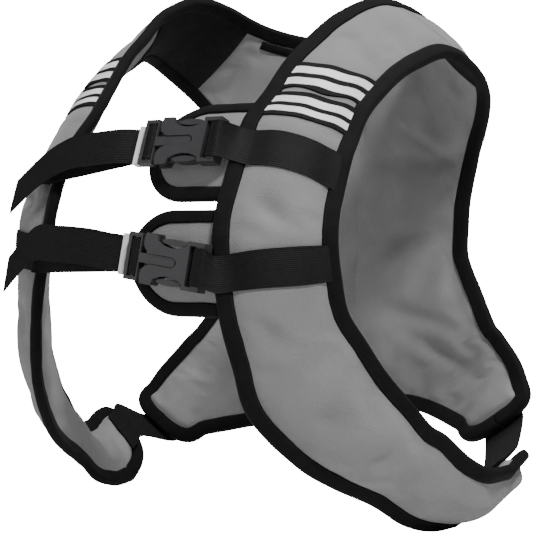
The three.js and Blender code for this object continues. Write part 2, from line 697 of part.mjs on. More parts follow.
function joined(...geometries) {
  const mesh = geometries.map(solid).reduce((a, b) => a.add(b)).getMesh();
  const g = new THREE.BufferGeometry();
  g.setAttribute("position", new THREE.BufferAttribute(mesh.vertProperties, 3));
  g.setIndex(new THREE.BufferAttribute(mesh.triVerts, 1));
  const flat = g.toNonIndexed();
  flat.computeVertexNormals();
  return flat;
}

function outline(points) {
  return new THREE.Shape(points.map(([x, z]) => new THREE.Vector2(x, z)));
}

function rectangle(x0, x1, z0, z1) {
  const path = new THREE.Path();
  path.moveTo(x0, z0);
  path.lineTo(x1, z0);
  path.lineTo(x1, z1);
  path.lineTo(x0, z1);
  return path;
}

function block(x0, x1, z0, z1, y0, y1) {
  return plate(outline([[x0, z0], [x1, z0], [x1, z1], [x0, z1]]), y0, y1);
}

// Outline of the socket: two curved arms round the tongue, waisted sides and a square webbing end.
function socketOutline(slotted) {
  const z = buckleWidth / 2;
  const arm = z * 0.34;
  const grip = (gripStart + socketEnd - 13) / 2;
  const shape = new THREE.Shape();
  shape.moveTo(socketEnd, -z * 0.94);
  shape.lineTo(socketEnd, z * 0.94);
  shape.lineTo(socketEnd - 9, z * 0.94);
  shape.lineTo(socketEnd - 13, z * 0.78);
  shape.quadraticCurveTo(grip, z * 0.34, gripStart, z * 0.74);
  shape.lineTo(gripStart - 1.5, z);
  shape.lineTo(socketStart + 3, z);
  shape.quadraticCurveTo(socketStart - 1, arm, socketStart + 9, fingerSlot / 2);
  if (slotted) {
    shape.lineTo(slotDepth - 3, fingerSlot / 2);
    shape.quadraticCurveTo(slotDepth + 3, 0, slotDepth - 3, -fingerSlot / 2);
  }
  shape.lineTo(socketStart + 9, -fingerSlot / 2);
  shape.quadraticCurveTo(socketStart - 1, -arm, socketStart + 3, -z);
  shape.lineTo(gripStart - 1.5, -z);
  shape.lineTo(gripStart, -z * 0.74);
  shape.quadraticCurveTo(grip, -z * 0.34, socketEnd - 13, -z * 0.78);
  shape.lineTo(socketEnd - 9, -z * 0.94);
  return shape;
}

const webbingSlot = webbingWidth / 2 + 0.8;
const gripStart = -buckleLength * 0.1; // left end of the openings for the grips
const socketBar = socketEnd - socketBarWidth; // inner side of the bar that the left webbing turns round
function socketGeometry() {
  const slot = () => rectangle(socketBar - socketThroat, socketBar, -webbingSlot, webbingSlot);
  const front = socketOutline(true);
  const back = socketOutline(false);
  front.holes.push(slot());
  back.holes.push(slot());
  const wallX = socketBar - socketThroat - 2.5;
  const webs = [1, -1].map((side) => {
    const z = [side * webbingSlot, side * buckleWidth * 0.47].sort((a, b) => a - b);
    return block(wallX, socketEnd, z[0], z[1], -half, half);
  });
  return joined(
    plate(front, -half, -half + buckleWall),
    plate(back, half - buckleWall, half),
    ...webs,
    block(wallX, socketBar - socketThroat, -buckleWidth * 0.47, buckleWidth * 0.47, -half, half),
    block(socketBar, socketEnd, -buckleWidth * 0.47, buckleWidth * 0.47, -half, half),
  );
}

// Tongue: a frame with two bars for the webbing, a finger and two sprung arms with lens-shaped grips.
const frameStart = -buckleLength / 2;
const wrapBar = frameStart + barWidth + throat;
const frameBase = wrapBar + barWidth + throat;
function tongueGeometry() {
  const z = buckleWidth / 2;
  const thin = tongueThickness / 2;
  const side = z * 0.94;
  const bar = (x0, x1) => block(x0, x1, -side, side, -tongueHalf, tongueHalf);
  const rail = (sign) => {
    const [low, high] = [sign * webbingSlot, sign * side].sort((a, b) => a - b);
    return block(frameStart, frameBase, low, high, -tongueHalf, tongueHalf);
  };
  const gripEnd = socketEnd - 15;
  const grip = (side) => {
    const points = [];
    for (let i = 0; i < 12; i++) {
      const angle = (Math.PI * i) / 6;
      const along = (gripStart + 2.5 + gripEnd) / 2 + (Math.cos(angle) * (gripEnd - gripStart - 2.5)) / 2;
      points.push([along, side * z * (0.78 + 0.13 * Math.sin(angle))]);
    }
    return plate(outline(points), -half + 1, half - 1);
  };
  const arm = (side) => {
    const [x0, x1] = [frameBase - 0.6, gripStart + 5];
    const points = [[x0, 0.42], [x0, 0.86], [x1, 0.84], [x1, 0.7]];
    return plate(outline(points.map(([x, share]) => [x, side * z * share])), -thin, thin);
  };
  const tip = slotDepth - 3 - clearance;
  const finger = outline([
    [frameBase - 0.6, -fingerWidth / 2],
    [tip, -fingerWidth / 2],
    [tip + 1.8, -fingerWidth / 5],
    [tip + 1.8, fingerWidth / 5],
    [tip, fingerWidth / 2],
    [frameBase - 0.6, fingerWidth / 2],
  ]);
  return joined(
    bar(frameStart, frameStart + barWidth),
    bar(wrapBar, wrapBar + barWidth),
    bar(frameBase - 1.2, frameBase),
    rail(1),
    rail(-1),
    plate(finger, -half + 0.8, thin),
    arm(1),
    arm(-1),
    grip(1),
    grip(-1),
  );
}

// Webbing along rails. A rail is a list of { p, n }: a middle point and the direction of its thickness.
function ribbon(rails, thickness) {
  const off = (sign) => rails.map((rail) => rail.map(({ p, n }) => face(p, n, (sign * thickness) / 2)));
  return new Shell().slab(off(1), off(-1)).geometry();
}

// A line along a strap over a front, from its armhole edge to past its centre edge, at one section.
function strapRail(s, section) {
  const lift = strapGap + webbingThickness / 2;
  const rail = [5, 4, 3, 2].map((k) => ({ p: section.shift(k, 1, lift), n: section.normal[k] }));
  const n = section.normal[0];
  const outward = section.in.clone().sub(section.mid[1]).normalize();
  const raised = legHeight + lift;
  const reach = (bindingLeg + 2 * clearance) * section.stretchIn;
  rail.push({ p: face(section.in, n, raised).addScaledVector(outward, -reach), n });
  rail.push({ p: face(section.in, n, raised).addScaledVector(outward, bindingWall + clearance), n });
  if (s.side < 0) rail.push({ p: face(section.in, n, raised).addScaledVector(outward, bindingLeg), n });
  return rail;
}

// The same line anywhere between two sections: t is 0, 1 or 2, for the strap's lower edge to its upper one.
function strapOnFront(s, span, t) {
  const u = THREE.MathUtils.lerp(span.from, span.to, t / 2);
  const i = s.front.findLastIndex((section) => section.u < u + 1e-6);
  const [low, high] = [s.front[i], s.front[i + 1]];
  const share = (u - low.u) / (high.u - low.u);
  const above = strapRail(s, high);
  return strapRail(s, low).map(({ p, n }, k) => ({
    p: mix(p, above[k].p, share),
    n: n.clone().lerp(above[k].n, share).normalize(),
  }));
}

// Turns of webbing in a buckle's frame, as x and y of the middle of the webbing, at height z.
function railInFrame(frame, z, turns) {
  const flat = turns.map(([x, y]) => new THREE.Vector2(x, y));
  return flat.map((q, i) => {
    const along = flat[Math.min(i + 1, flat.length - 1)].clone().sub(flat[Math.max(i - 1, 0)]);
    const n = V(-along.y, along.x, 0).normalize().transformDirection(frame);
    return { p: V(q.x, q.y, z).applyMatrix4(frame), n };
  });
}

const rimFace = half + clearance + webbingThickness / 2; // webbing over the socket's bar
function socketTurns() {
  const inner = socketBar - clearance - webbingThickness / 2;
  return [
    [socketEnd, -rimFace],
    [inner + 0.6, -rimFace],
    [inner, -rimFace * 0.6],
    [inner, rimFace * 0.6],
    [inner + 0.6, rimFace],
    [socketEnd - 0.5, rimFace],
  ];
}

// Free tails: how they lie before the right front, in a buckle's frame, as shares of their length
// along x, of webbingWidth forwards and downwards.
const tailLength = 96;
const keeperGap = 5; // from the tongue's frame to the keeper
const tailStart = frameStart - keeperGap - keeperLength - clearance;
const tailBends = {
  upper: [
    { along: 0.12, forward: 0.3, down: 0.1 },
    { along: 0.3, forward: 0.5, down: 0.25 },
    { along: 0.48, forward: 0.6, down: 0.4 },
    { along: 0.7, forward: 0.6, down: 0.85 },
    { along: 0.95, forward: 0.45, down: 1.6 },
  ],
  lower: [
    { along: 0.1, forward: 0.2, down: 0 },
    { along: 0.25, forward: 0.42, down: -0.02 },
    { along: 0.5, forward: 0.55, down: 0.05 },
    { along: 0.72, forward: 0.5, down: 0.2 },
    { along: 0.96, forward: 0.35, down: 1.15 },
  ],
};
const innerLayer = tongueHalf + clearance + webbingThickness / 2;
const outerLayer = innerLayer + layer;

for (const [level, frame] of Object.entries(buckles)) {
  const span = level === "upper" ? upperStrap : lowerStrap;
  add(`buckle_female_${level}`, socketGeometry().applyMatrix4(frame), plastic);
  add(`buckle_male_${level}`, tongueGeometry().applyMatrix4(frame), plastic);

  const near = [0, 1, 2].map((t) => [
    ...strapOnFront(sides.left, span, t),
    ...railInFrame(frame, ((t - 1) * webbingWidth) / 2, socketTurns()),
  ]);
  add(`strap_left_${level}`, ribbon(near, webbingThickness), trim);

  const bar = wrapBar + barWidth + clearance + webbingThickness / 2;
  const wrapSide = wrapBar - clearance - webbingThickness / 2;
  const backTurns = [
    [tailStart, outerLayer],
    [wrapBar + barWidth, outerLayer],
    [bar, innerLayer],
    [bar, -innerLayer * 0.7],
    [bar - 0.8, -innerLayer],
    [wrapBar - 0.2, -innerLayer],
    [wrapSide, -innerLayer * 0.7],
    [wrapSide, innerLayer * 0.7],
    [wrapSide - 0.8, innerLayer],
    [tailStart, innerLayer],
  ];
  const bends = tailBends[level].map((bend) => ({
    x: tailStart - bend.along * tailLength,
    y: innerLayer - bend.forward * webbingWidth,
    z: -bend.down * webbingWidth,
  }));
  const far = [0, 1, 2].map((t) => {
    const z = ((t - 1) * webbingWidth) / 2;
    const tail = railInFrame(frame, z, [...backTurns, ...bends.map((bend) => [bend.x, bend.y])]);
    bends.forEach((bend, i) => {
      const up = V().setFromMatrixColumn(frame, 2);
      tail[backTurns.length + i].p.addScaledVector(up, bend.z);
    });
    const run = strapOnFront(sides.right, level === "upper" ? upperStrapRight : span, t);
    const flip = run.map((stop) => ({ p: stop.p, n: stop.n.clone().negate() }));
    return [...flip, ...tail];
  });
  add(`strap_right_${level}`, ribbon(far, webbingThickness), trim);

  add(`keeper_${level}`, keeperGeometry().applyMatrix4(frame), reflective);
}

// Ring round both layers of the right webbing, beside the tongue
function keeperGeometry() {
  const y0 = innerLayer - webbingThickness / 2 - clearance;
  const y1 = outerLayer + webbingThickness / 2 + clearance;
  const z = webbingWidth / 2 + clearance;
  const [low, high, wide] = [y0 - keeperWall, y1 + keeperWall, z + keeperWall];
  const ring = outline([[low, -wide], [high, -wide], [high, wide], [low, wide]]);
  ring.holes.push(rectangle(y0, y1, -z, z));
  const g = new THREE.ExtrudeGeometry(ring, { depth: keeperLength, bevelEnabled: false });
  const turn = new THREE.Matrix4().makeBasis(V(0, 1, 0), V(0, 0, 1), V(1, 0, 0));
  return g.applyMatrix4(turn).translate(frameStart - keeperGap - keeperLength, 0, 0);
}

// Pads behind the buckles: each hangs on the left front's centre edge and ends in a half round.
const padBehind = 5.6; // from the middle of the edge back to the middle of the pad
const padSpread = 5; // rows across half a pad
const padRoot = legHeight + clearance; // from the edge to the start of the pad

// A place on a pad: so far along -X from the centre edge of the left front, at a height up its edge.
function padPlace(level, along, high) {
  const frame = buckles[level];
  const back = V().setFromMatrixColumn(frame, 1);
  const up = V().setFromMatrixColumn(frame, 2);
  const z = V().setFromMatrixPosition(frame).addScaledVector(back, proud[level]).addScaledVector(up, high).z;
  const run = sides.left.front;
  const i = Math.max(1, run.findIndex((section) => section.in.z > z && section.u > 4));
  const edge = mix(run[i - 1].in, run[i].in, (z - run[i - 1].in.z) / (run[i].in.z - run[i - 1].in.z));
  edge.x -= padRoot + along;
  return edge.addScaledVector(back, padBehind);
}
function padStops(level) {
  const frame = buckles[level];
  const at = (along, high) => padPlace(level, along, high);
  const normal = V().setFromMatrixColumn(frame, 1);
  const corner = padHeight / 2;
  const straight = padLength - corner;
  const stops = [{ edge: at(0, corner), centre: at(0, 0) }];
  for (let i = 0; i <= 2 * padSpread; i++) {
    const angle = (Math.PI * i) / (2 * padSpread);
    const edge = at(straight + Math.sin(angle) * corner, Math.cos(angle) * corner);
    stops.push({ edge, centre: at(straight, 0) });
  }
  stops.push({ edge: at(0, -corner), centre: at(0, 0) });
  return stops.map(({ edge, centre }) => ({
    edge,
    centre,
    inward: centre.clone().sub(edge).normalize(),
    normal,
    stretch: 1,
  }));
}
for (const level of Object.keys(buckles)) {
  const stops = padStops(level);
  const layer = (off) => {
    const rim = stops.map((stop) => face(stop.edge, stop.normal, off));
    const inner = stops.map((stop) => face(stop.centre, stop.normal, off));
    return [rim, inner];
  };
  const [top, bottom] = [layer(padThickness / 2), layer(-padThickness / 2)];
  const shell = new Shell();
  shell.grid(top, false);
  shell.grid(bottom, true);
  shell.wall(top[0], bottom[0], false);
  const root = ([rim, inner]) => [rim[0], inner[0], rim.at(-1)];
  shell.wall(root(top), root(bottom), true);
  add(`buckle_pad_${level}`, shell.geometry(), cloth);
  add(`pad_binding_${level}`, binding(stops), trim);
}

export default vest;
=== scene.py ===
import math
import bmesh
import bpy
import numpy as np
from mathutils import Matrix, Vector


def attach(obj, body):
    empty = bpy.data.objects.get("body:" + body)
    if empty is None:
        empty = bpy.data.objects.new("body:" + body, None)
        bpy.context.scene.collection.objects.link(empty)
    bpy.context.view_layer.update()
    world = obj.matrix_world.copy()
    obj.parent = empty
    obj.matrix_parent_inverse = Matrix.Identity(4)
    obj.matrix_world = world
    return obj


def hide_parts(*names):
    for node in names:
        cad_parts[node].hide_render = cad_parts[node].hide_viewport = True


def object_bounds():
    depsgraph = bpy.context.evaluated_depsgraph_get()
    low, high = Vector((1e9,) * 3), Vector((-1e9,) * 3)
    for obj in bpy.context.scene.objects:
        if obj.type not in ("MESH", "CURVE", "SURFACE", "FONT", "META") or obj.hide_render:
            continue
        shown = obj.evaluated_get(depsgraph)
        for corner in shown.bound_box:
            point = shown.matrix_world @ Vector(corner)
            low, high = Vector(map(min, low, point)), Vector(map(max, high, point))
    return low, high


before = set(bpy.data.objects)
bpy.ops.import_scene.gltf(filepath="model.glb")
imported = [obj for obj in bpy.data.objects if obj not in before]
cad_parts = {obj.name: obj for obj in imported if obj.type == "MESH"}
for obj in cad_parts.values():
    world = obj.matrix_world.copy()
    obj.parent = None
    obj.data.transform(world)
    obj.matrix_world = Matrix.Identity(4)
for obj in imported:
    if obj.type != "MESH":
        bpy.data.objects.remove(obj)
cad_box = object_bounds()

# ---- Sizes in millimetres, the same as the CAD's -----------------------------------------------
HALF_WIDTH, DEPTH, HEIGHT, LEAN = 190, 290, 390, 6
EDGE = 4               # sewn edge inside the binding
PUFF_OUT, PUFF_IN = 12, 6
BIND_LEG = 9           # how far a binding reaches over the cloth
BIND_TOP = 4.1         # its outer face above the middle of the edge
WEB, WEB_THICK = 25, 1.4
ELASTIC, ELASTIC_THICK = 36, 2
BUCKLE_L, BUCKLE_T = 64, 8.6
ROUND_END = 0.66       # power of the rounded ends: 1 is an ellipse, less is squarer

# Rows across one half: inner edge x y z, outer edge x y z (shares), puff, lift
FRONT = np.array([
    [0.768, -0.024, -0.890, 1.011, -0.017, -0.784, 0.90, 1],
    [0.742, -0.107, -0.892, 0.975, -0.085, -0.786, 1.00, 1],
    [0.716, -0.207, -0.874, 0.932, -0.145, -0.762, 1.00, 1],
    [0.674, -0.303, -0.833, 0.895, -0.207, -0.722, 1.00, 1],
    [0.621, -0.414, -0.797, 0.865, -0.250, -0.702, 1.00, 1],
    [0.563, -0.510, -0.754, 0.835, -0.295, -0.665, 1.00, 1],
    [0.484, -0.614, -0.672, 0.785, -0.359, -0.610, 1.00, 1],
    [0.453, -0.645, -0.590, 0.745, -0.410, -0.553, 1.00, 1],
    [0.421, -0.662, -0.518, 0.711, -0.455, -0.500, 1.00, 1],
    [0.400, -0.662, -0.467, 0.705, -0.476, -0.444, 0.95, 1],
    [0.379, -0.655, -0.405, 0.700, -0.486, -0.385, 0.95, 1],
    [0.368, -0.638, -0.336, 0.689, -0.469, -0.336, 0.95, 1],
    [0.366, -0.583, -0.249, 0.679, -0.441, -0.300, 0.90, 1],
    [0.342, -0.521, -0.192, 0.674, -0.400, -0.238, 0.85, 1],
    [0.337, -0.490, -0.164, 0.668, -0.369, -0.210, 0.80, 1],
    [0.353, -0.431, -0.121, 0.663, -0.314, -0.159, 0.70, 1],
    [0.366, -0.359, -0.064, 0.666, -0.224, -0.110, 0.60, 1],
    [0.379, -0.276, -0.018, 0.674, -0.155, -0.079, 0.50, 1],
    [0.405, -0.190, 0.026, 0.689, -0.093, -0.059, 0.42, 1],
    [0.421, -0.052, 0.064, 0.721, -0.017, -0.038, 0.38, 1],
    [0.432, 0.059, 0.069, 0.747, 0.052, -0.044, 0.30, 1],
])
BACK = np.array([
    [0.432, 0.059, 0.069, 0.747, 0.052, -0.044, 0.30, 1.0],
    [0.434, 0.148, 0.059, 0.747, 0.128, -0.069, 0.36, 1.0],
    [0.416, 0.224, 0.044, 0.721, 0.197, -0.100, 0.42, 0.8],
    [0.368, 0.283, 0.031, 0.684, 0.245, -0.133, 0.48, 0.6],
    [0.295, 0.324, 0.023, 0.637, 0.283, -0.172, 0.50, 0.4],
    [0.211, 0.345, 0.018, 0.589, 0.310, -0.213, 0.50, 0.2],
    [0.111, 0.355, 0.014, 0.558, 0.324, -0.256, 0.50, 0.0],
    [0.000, 0.359, 0.013, 0.532, 0.328, -0.308, 0.50, 0.0],
    [0.000, 0.360, -0.018, 0.523, 0.328, -0.340, 0.50, 0.0],
    [0.000, 0.362, -0.090, 0.521, 0.328, -0.364, 0.50, 0.0],
    [0.000, 0.362, -0.244, 0.521, 0.324, -0.413, 0.50, 0.0],
    [0.000, 0.355, -0.372, 0.558, 0.307, -0.454, 0.50, -0.3],
    [0.000, 0.345, -0.500, 0.621, 0.279, -0.500, 0.50, -0.6],
    [0.000, 0.334, -0.615, 0.690, 0.245, -0.549, 0.45, -0.8],
    [0.000, 0.329, -0.695, 0.725, 0.231, -0.572, 0.25, -0.9],
    [0.000, 0.328, -0.727, 0.750, 0.224, -0.582, 0.15, -1.0],
    [0.158, 0.317, -0.731, 0.800, 0.210, -0.608, 0.25, -1.2],
    [0.316, 0.286, -0.741, 0.838, 0.200, -0.628, 0.40, -1.3],
    [0.447, 0.248, -0.752, 0.872, 0.190, -0.649, 0.50, -1.3],
    [0.622, 0.178, -0.770, 0.908, 0.176, -0.679, 0.50, -1.3],
])
FRONT_TIP = (0.911, 0.071, -0.796, 1)
WING_TIP = (0.825, 0.14, -0.756, -1.3)
NECK_ROW, HEM_ROW = 7, 15      # first and last back rows that start at the middle of the back

# ---- Small numpy helpers -----------------------------------------------------------------------
def unit(v):
    """Vectors scaled to length 1, along the last axis."""
    return v / np.maximum(np.linalg.norm(v, axis=-1, keepdims=True), 1e-9)


def smooth(x):
    """0 up to x = 0, 1 from x = 1, and 3x^2 - 2x^3 between."""
    x = np.clip(x, 0, 1)
    return x * x * (3 - 2 * x)


def place(shares, lift, side):
    """Shares to millimetres. A side hangs lower by its lift, fading out towards the middle of the back."""
    x, y, z = np.moveaxis(np.asarray(shares, float), -1, 0)
    fade = np.minimum(1, x * 3)
    return np.stack([side * x * HALF_WIDTH, y * DEPTH, z * HEIGHT - side * lift * LEAN * fade], -1)


def curve(points, at):
    """Catmull-Rom curve: a cubic between rows, with each tangent half of the step between its neighbours."""
    points = np.asarray(points, float)
    at = np.asarray(at, float)
    p = np.vstack([2 * points[0] - points[1], points, 2 * points[-1] - points[-2]])
    i = np.minimum(at.astype(int), len(points) - 2)
    w = (at - i)[..., None]
    a, b = p[i + 1], p[i + 2]
    start, end = (b - p[i]) / 2, (p[i + 3] - a) / 2
    return ((2 * w**3 - 3 * w**2 + 1) * a + (w**3 - 2 * w**2 + w) * start
            + (3 * w**2 - 2 * w**3) * b + (w**3 - w**2) * end)


def run_of(points):
    """The distance along a polyline to each of its points."""
    return np.concatenate([[0], np.cumsum(np.linalg.norm(np.diff(points, axis=0), axis=1))])


def along_run(at, run, points):
    """Points of a polyline at given distances along it."""
    return np.stack([np.interp(at, run, points[:, k]) for k in range(points.shape[1])], -1)


def resample(points, step):
    """The same polyline at equal steps of about the given length."""
    run = run_of(points)
    count = max(2, int(round(run[-1] / step)) + 1)
    return along_run(np.linspace(0, run[-1], count), run, points)


def across_to(v, axis):
    """Vectors made perpendicular to an axis, at length 1."""
    return unit(v - axis * (v * axis).sum(-1, keepdims=True))


def waves(points, size, seed):
    """A smooth noise of about -1 to 1: five sine waves of about a given size in mm, in seeded directions."""
    rng = np.random.default_rng(seed)
    total = 0
    for _ in range(5):
        way = unit(rng.normal(size=3)) * rng.uniform(0.7, 1.5) * 2 * math.pi / size
        total = total + np.sin(points @ way + rng.uniform(0, 2 * math.pi))
    return total / 2.6


# ---- Meshes ------------------------------------------------------------------------------------
def put(name, data):
    """A new object in the scene."""
    thing = bpy.data.objects.new(name, data)
    bpy.context.scene.collection.objects.link(thing)
    return thing


def make_piece(name, points, faces, uv=None, stands_for=None, material=None, levels=0):
    """A mesh object from points in millimetres. uv gives one pair per point, in millimetres too."""
    mesh = bpy.data.meshes.new(name)
    mesh.from_pydata((np.asarray(points) * 0.001).tolist(), [], [tuple(map(int, f)) for f in faces])
    if uv is not None:
        layer = mesh.uv_layers.new(name="surface_mm")
        corners = np.empty(len(mesh.loops), int)
        mesh.loops.foreach_get("vertex_index", corners)
        layer.data.foreach_set("uv", np.asarray(uv, float)[corners].ravel())
    mesh.validate()
    mesh.shade_smooth()
    mesh.materials.append(material)
    piece = put(name, mesh)
    if levels:
        sub = piece.modifiers.new("subdivision", "SUBSURF")
        sub.levels = sub.render_levels = levels
    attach(piece, "root")
    if stands_for:
        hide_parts(stands_for)
    return piece


def grid_faces(rows, cols, wrap=False, start=0, flip=False):
    """Quads between the rows and columns of a grid of points."""
    i, k = np.meshgrid(np.arange(rows - 1), np.arange(cols if wrap else cols - 1), indexing="ij")
    i, k = i.ravel(), k.ravel()
    n = (k + 1) % cols
    quads = np.stack([i * cols + k, (i + 1) * cols + k, (i + 1) * cols + n, i * cols + n], -1) + start
    return quads[:, ::-1] if flip else quads


def two_faces(rows, cols, start=0, flip=False):
    """Quads of a grid's upper face, and of its under face, whose points follow those of the upper one."""
    upper = grid_faces(rows, cols, start=start, flip=flip)
    under = grid_faces(rows, cols, start=start + rows * cols, flip=not flip)
    return [list(f) for f in (*upper, *under)]


def grid_uv(along, over):
    """One UV for each point of a grid: its distances along and over it."""
    return np.stack(np.broadcast_arrays(along[:, None], over[None]), -1).reshape(-1, 2)


def grid_border(rows, cols):
    """The numbers of the points round the edge of a grid, in order."""
    return ([k for k in range(cols)] + [i * cols + cols - 1 for i in range(1, rows)]
            + [(rows - 1) * cols + k for k in range(cols - 2, -1, -1)]
            + [i * cols for i in range(rows - 2, 0, -1)])


WELD_REACH = 0.02


def weld(points, faces, *values):
    """Merge points that lie within 0.02 mm of each other, and drop faces that collapse."""
    keys = np.round(np.asarray(points) / WELD_REACH).astype(np.int64)
    _, first, where = np.unique(keys, axis=0, return_index=True, return_inverse=True)
    where = where.ravel()
    out = []
    for face in faces:
        ring = [int(where[v]) for v in face]
        ring = [v for n, v in enumerate(ring) if v != ring[n - 1]]
        if len(ring) > 2 and len(set(ring)) == len(ring):
            out.append(ring)
    return [np.asarray(points)[first], out, *[np.asarray(v)[first] for v in values]]


def tube(rings, start=0):
    """Faces of a closed profile carried along a path and capped. rings is (stops, profile points, 3)."""
    stops, count = rings.shape[:2]
    faces = [list(f) for f in grid_faces(stops, count, wrap=True, start=start)]
    faces.append([start + k for k in range(count)])
    faces.append([start + (stops - 1) * count + k for k in reversed(range(count))])
    return faces


def outwards(points, faces):
    """Turn all faces round if the closed mesh is inside out, by the sign of its volume."""
    p = np.asarray(points)
    volume = sum(float(np.dot(p[f[0]], np.cross(p[f[n]], p[f[n + 1]])))
                 for f in faces for n in range(1, len(f) - 1))
    return faces if volume > 0 else [list(reversed(list(f))) for f in faces]


# ---- The cloth's middle surface ----------------------------------------------------------------
class Half:
    """The middle surface of one front or one half of the back, as a grid of (along, across) points.

    Rows run along the half at equal steps of the row number u. Across, a point is the straight mix of
    the inner and the outer edge by t from 0 to 1. Beyond the last row a rounded end continues: the point
    moves on towards the tip by v times the height of a superellipse over t.
    """

    def __init__(self, table, side, corners, tip, tip_first, per_row=6, columns=31, cap=9):
        self.side = side
        last = len(table) - 1
        u = np.linspace(0, last, last * per_row + 1)
        ins = place(table[:, 0:3], table[:, 7], side)
        outs = place(table[:, 3:6], table[:, 7], side)
        stops = [0, *corners, last]
        edge_in = np.empty((len(u), 3))
        for a, b in zip(stops, stops[1:]):
            mask = (u >= a) & (u <= b)
            edge_in[mask] = curve(ins[a:b + 1], u[mask] - a)
        edge_out = curve(outs, u)
        t = (1 - np.cos(np.linspace(0, math.pi, columns))) / 2
        t = 0.45 * t + 0.55 * np.linspace(0, 1, columns)
        mid = edge_in[:, None] * (1 - t[:, None]) + edge_out[:, None] * t[:, None]
        across = np.broadcast_to((edge_out - edge_in)[:, None], mid.shape)
        along = np.gradient(mid, axis=0)
        normal = unit(np.cross(across, along)) * side
        if corners:
            top, low = corners
            rows = (u > top) & (u < low)
            normal[rows, 0, 0] = 0
            normal[:, 0] = unit(normal[:, 0])
        end = 0 if tip_first else -1
        centre = (edge_in[end] + edge_out[end]) / 2
        reach = place(tip[:3], tip[3], side) - centre
        x = np.abs(2 * t - 1)
        rise = (1 - x ** (1 / ROUND_END)).clip(0) ** ROUND_END
        v = np.linspace(0, 1, cap + 1)[1:, None, None] ** 0.8
        cap_mid = mid[end][None] + v * rise[None, :, None] * reach
        plane = unit(np.cross(edge_in[end] - centre, reach))
        if plane @ normal[end][columns // 2] < 0:
            plane = -plane
        turn = smooth(v * 1.2)
        cap_normal = unit(normal[end][None] * (1 - turn) + plane * turn)
        cap_u = np.full(cap, u[end])
        if tip_first:
            self.mid = np.concatenate([cap_mid[::-1], mid])
            self.normal = np.concatenate([cap_normal[::-1], normal])
            self.u = np.concatenate([cap_u, u])
        else:
            self.mid = np.concatenate([mid, cap_mid])
            self.normal = np.concatenate([normal, cap_normal])
            self.u = np.concatenate([u, cap_u])
        self.t = t
        self.tip_first = tip_first
        self.first = cap if tip_first else 0
        self.last_row = len(self.u) - 1 - (0 if tip_first else cap)
        self.puff = np.interp(self.u, np.arange(last + 1), table[:, 6])
        # the rounded edge, from the inner corner to the outer one
        angle = np.linspace(0, math.pi, 41)
        c, s = np.cos(angle), np.sin(angle)
        tip_t = (1 - np.sign(c) * np.abs(c) ** ROUND_END) / 2
        base = edge_in[end] * (1 - tip_t[:, None]) + edge_out[end] * tip_t[:, None]
        self.tip_edge = base + np.abs(s[:, None]) ** ROUND_END * reach
        n_end = np.stack([np.interp(tip_t, t, normal[end][:, k]) for k in range(3)], -1)
        turn = smooth(np.sin(angle) * 1.2)[:, None]
        self.tip_normal = unit(n_end * (1 - turn) + plane * turn)
        self.tip_centre = centre
        self.reach, self.plane = unit(reach), plane
        self.apex = centre + reach
        self.across_tip = unit(edge_in[end] - centre)
        self.edge_in, self.edge_out = edge_in, edge_out
        self.edge_u = u

    def at(self, u, t):
        """The middle surface at row numbers u and shares t, mixed linearly on the grid: the point, its
        normal, and the heights of the outer and the inner face."""
        whole = slice(self.first, self.last_row + 1)
        rows = self.u[whole]
        u, t = np.broadcast_arrays(np.asarray(u, float), np.asarray(t, float))
        fi = np.clip((u - rows[0]) / (rows[1] - rows[0]), 0, len(rows) - 1.001)
        fc = np.clip(np.interp(t, self.t, np.arange(len(self.t))), 0, len(self.t) - 1.001)
        i, k = fi.astype(int), fc.astype(int)
        a, b = (fi - i)[..., None], (fc - k)[..., None]
        mixed = []
        for g in (self.mid, self.normal, self.height_out[..., None], self.height_in[..., None]):
            g = g[whole]
            mixed.append((1 - a) * ((1 - b) * g[i, k] + b * g[i, k + 1])
                         + a * ((1 - b) * g[i + 1, k] + b * g[i + 1, k + 1]))
        return mixed[0], unit(mixed[1]), mixed[2], mixed[3]


def distance(points, line):
    """Each point's distance to the nearest point of a finely divided line."""
    flat = points.reshape(-1, 3)
    best = np.full(len(flat), 1e9)
    for part in np.array_split(line, max(1, len(line) // 200)):
        best = np.minimum(best, np.linalg.norm(flat[:, None] - part[None], axis=2).min(1))
    return best.reshape(points.shape[:-1])


FLAT_EDGE, PUFF_POWER = 8, 2.2
LEAST_HALF, FADE = 14, 14


